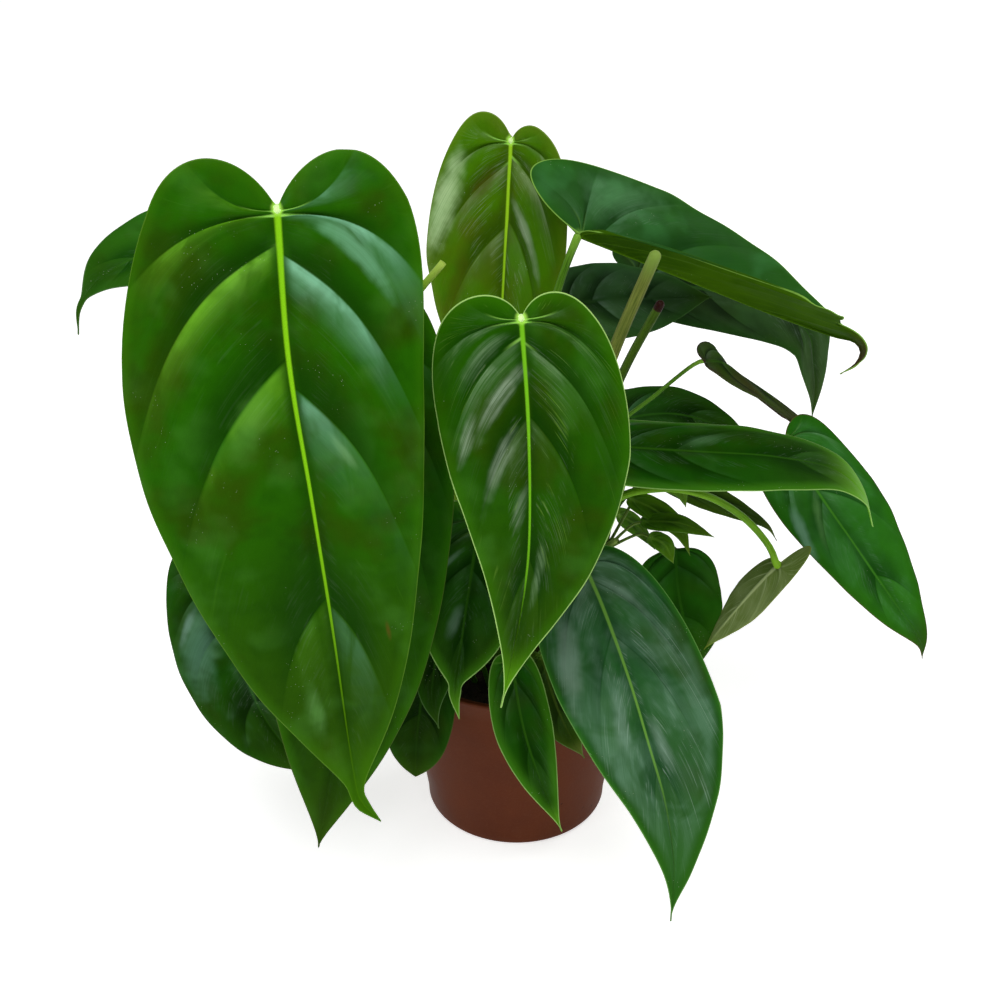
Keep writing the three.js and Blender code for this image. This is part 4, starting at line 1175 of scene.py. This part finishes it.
def pot_profile():
    """Radius and height from the middle of the base over the lip to the middle of the floor."""
    top, floor, foot, lip = POT["height"], POT["floor"], POT["foot_round"], POT["lip_round"]
    lip_base = top - POT["lip_height"]
    foot_centre = POT["base"] - POT["bevel"] / 2 - 0.6
    heights = (30, 60, 85)
    profile = [(0.01, 0), (20, 0), (foot_centre, 0), *arc((foot_centre, foot), foot, -80, -12)]
    profile += [(outer_radius(z), z) for z in (6, *heights, lip_base - POT["lip_width"])]
    profile += [(POT["rim"] - 0.2, lip_base), *arc((POT["rim"] - lip, top - lip), lip, 0, 90)]
    profile += [(inner_radius(top) + 0.5, top), (inner_radius(top), top - 0.6)]
    profile += [(inner_radius(z), z) for z in (*heights[::-1], floor + 2)]
    return profile + [(inner_radius(floor) - 1.5, floor), (20, floor), (0.01, floor)]


def cut_drain_holes(pot):
    cutters = []
    for k in range(POT["drain_count"]):
        turn = (k + 0.5) * TURN / POT["drain_count"]
        place = [POT["drain_ring"] * part * MM for part in (math.cos(turn), math.sin(turn), 0)]
        bpy.ops.mesh.primitive_cylinder_add(
            vertices=32, radius=POT["drain_radius"] * MM, depth=4 * POT["floor"] * MM, location=place)
        cutters.append(bpy.context.object)
        modifier = pot.modifiers.new("drain", "BOOLEAN")
        modifier.operation = "DIFFERENCE"
        modifier.object = cutters[-1]
        modifier.solver = "EXACT"
    applied = bpy.data.meshes.new_from_object(pot.evaluated_get(bpy.context.evaluated_depsgraph_get()))
    pot.modifiers.clear()
    pot.data = applied
    for cutter in cutters:
        bpy.data.objects.remove(cutter)


def build_pot(sides=144):
    turns = TURN * np.arange(sides) / sides
    profile = pot_profile()
    points = np.array([(r * math.cos(a), r * math.sin(a), z) for r, z in profile for a in turns])
    faces = ring_faces(len(profile), sides)
    faces.append(tuple(range(sides))[::-1])
    faces.append(tuple(range(len(points) - sides, len(points))))
    pot = make_object("nursery_pot", (points, faces, {}), pot_material())
    cut_drain_holes(pot)
    settle(pot, "pot")


# Soil
def soil_body(rng, reach, edge, rings=40, sides=120):
    """The body of soil: a lumpy top, plain sides along the pot's wall, and a flat bottom."""
    points = [(0, 0, SOIL_TOP)]
    shape = rng.uniform(0, TURN, 12)
    for i in range(1, rings + 1):
        r = reach * i / rings
        fall = 1 - (r / reach) ** 8
        for a in TURN * np.arange(sides) / sides:
            x, y = r * math.cos(a), r * math.sin(a)
            lump = sum(math.sin(x * f + shape[2 * n]) * math.cos(y * f + shape[2 * n + 1]) / f
                       for n, f in enumerate((0.11, 0.19, 0.37, 0.71, 1.1, 1.9)))
            points.append((x, y, edge + fall * (1.2 + 0.11 * lump) + rng.uniform(-0.15, 0.15)))
    shrink = inner_radius(SOIL_BOTTOM) - 2
    start, first_low = len(points) - sides, len(points)
    points += [(*(np.array(p[:2]) * shrink / reach), SOIL_BOTTOM) for p in points[-sides:]]
    faces = [(0, 1 + j, 1 + (j + 1) % sides) for j in range(sides)]
    faces += [(a, d, c, b) for a, b, c, d in ring_faces(rings, sides, 1)]
    for j in range(sides):
        k = (j + 1) % sides
        faces.append((start + j, first_low + j, first_low + k, start + k))
    faces.append(tuple(first_low + j for j in range(sides))[::-1])
    return np.array(points, float), faces, {}


def crumbs(rng, reach, count=320):
    """Crumbs of bark and peat that lie on the soil."""
    ball = bmesh.new()
    bmesh.ops.create_icosphere(ball, subdivisions=2, radius=1)
    points = np.array([v.co for v in ball.verts])
    ball.verts.index_update()
    faces = [tuple(v.index for v in face.verts) for face in ball.faces]
    ball.free()
    parts = []
    for _ in range(count):
        r, a = reach * 0.97 * math.sqrt(rng.uniform()), rng.uniform(0, TURN)
        size = rng.uniform(0.7, 2.4)
        size = size * np.array([rng.uniform(*span) for span in ((0.6, 1.5), (0.5, 1.2), (0.35, 0.7))])
        bend = 1 + 0.22 * np.sin(points * rng.uniform(1.5, 4, 3) + rng.uniform(0, 6, 3)).sum(axis=1)
        turn = rng.uniform(0, TURN)
        c, s = math.cos(turn), math.sin(turn)
        crumb = points * bend[:, None] * size @ np.array([[c, s, 0], [-s, c, 0], [0, 0, 1]])
        parts.append((crumb + [r * math.cos(a), r * math.sin(a), SOIL_TOP - 0.9], faces, {}))
    return parts


def build_soil():
    rng = np.random.default_rng(SOIL_SEED)
    edge = SOIL_TOP - SOIL_EDGE_DROP
    reach = inner_radius(edge) - 0.6
    body = soil_body(rng, reach, edge)
    soil = make_object("potting_mix", merge([body, *crumbs(rng, reach)]), soil_material())
    settle(soil, "soil")


# The scene
build_camera()
build_floor()
build_lights()
build_leaves()
build_shoots()
build_seedling()
build_pot()
build_soil()

bpy.context.view_layer.update()
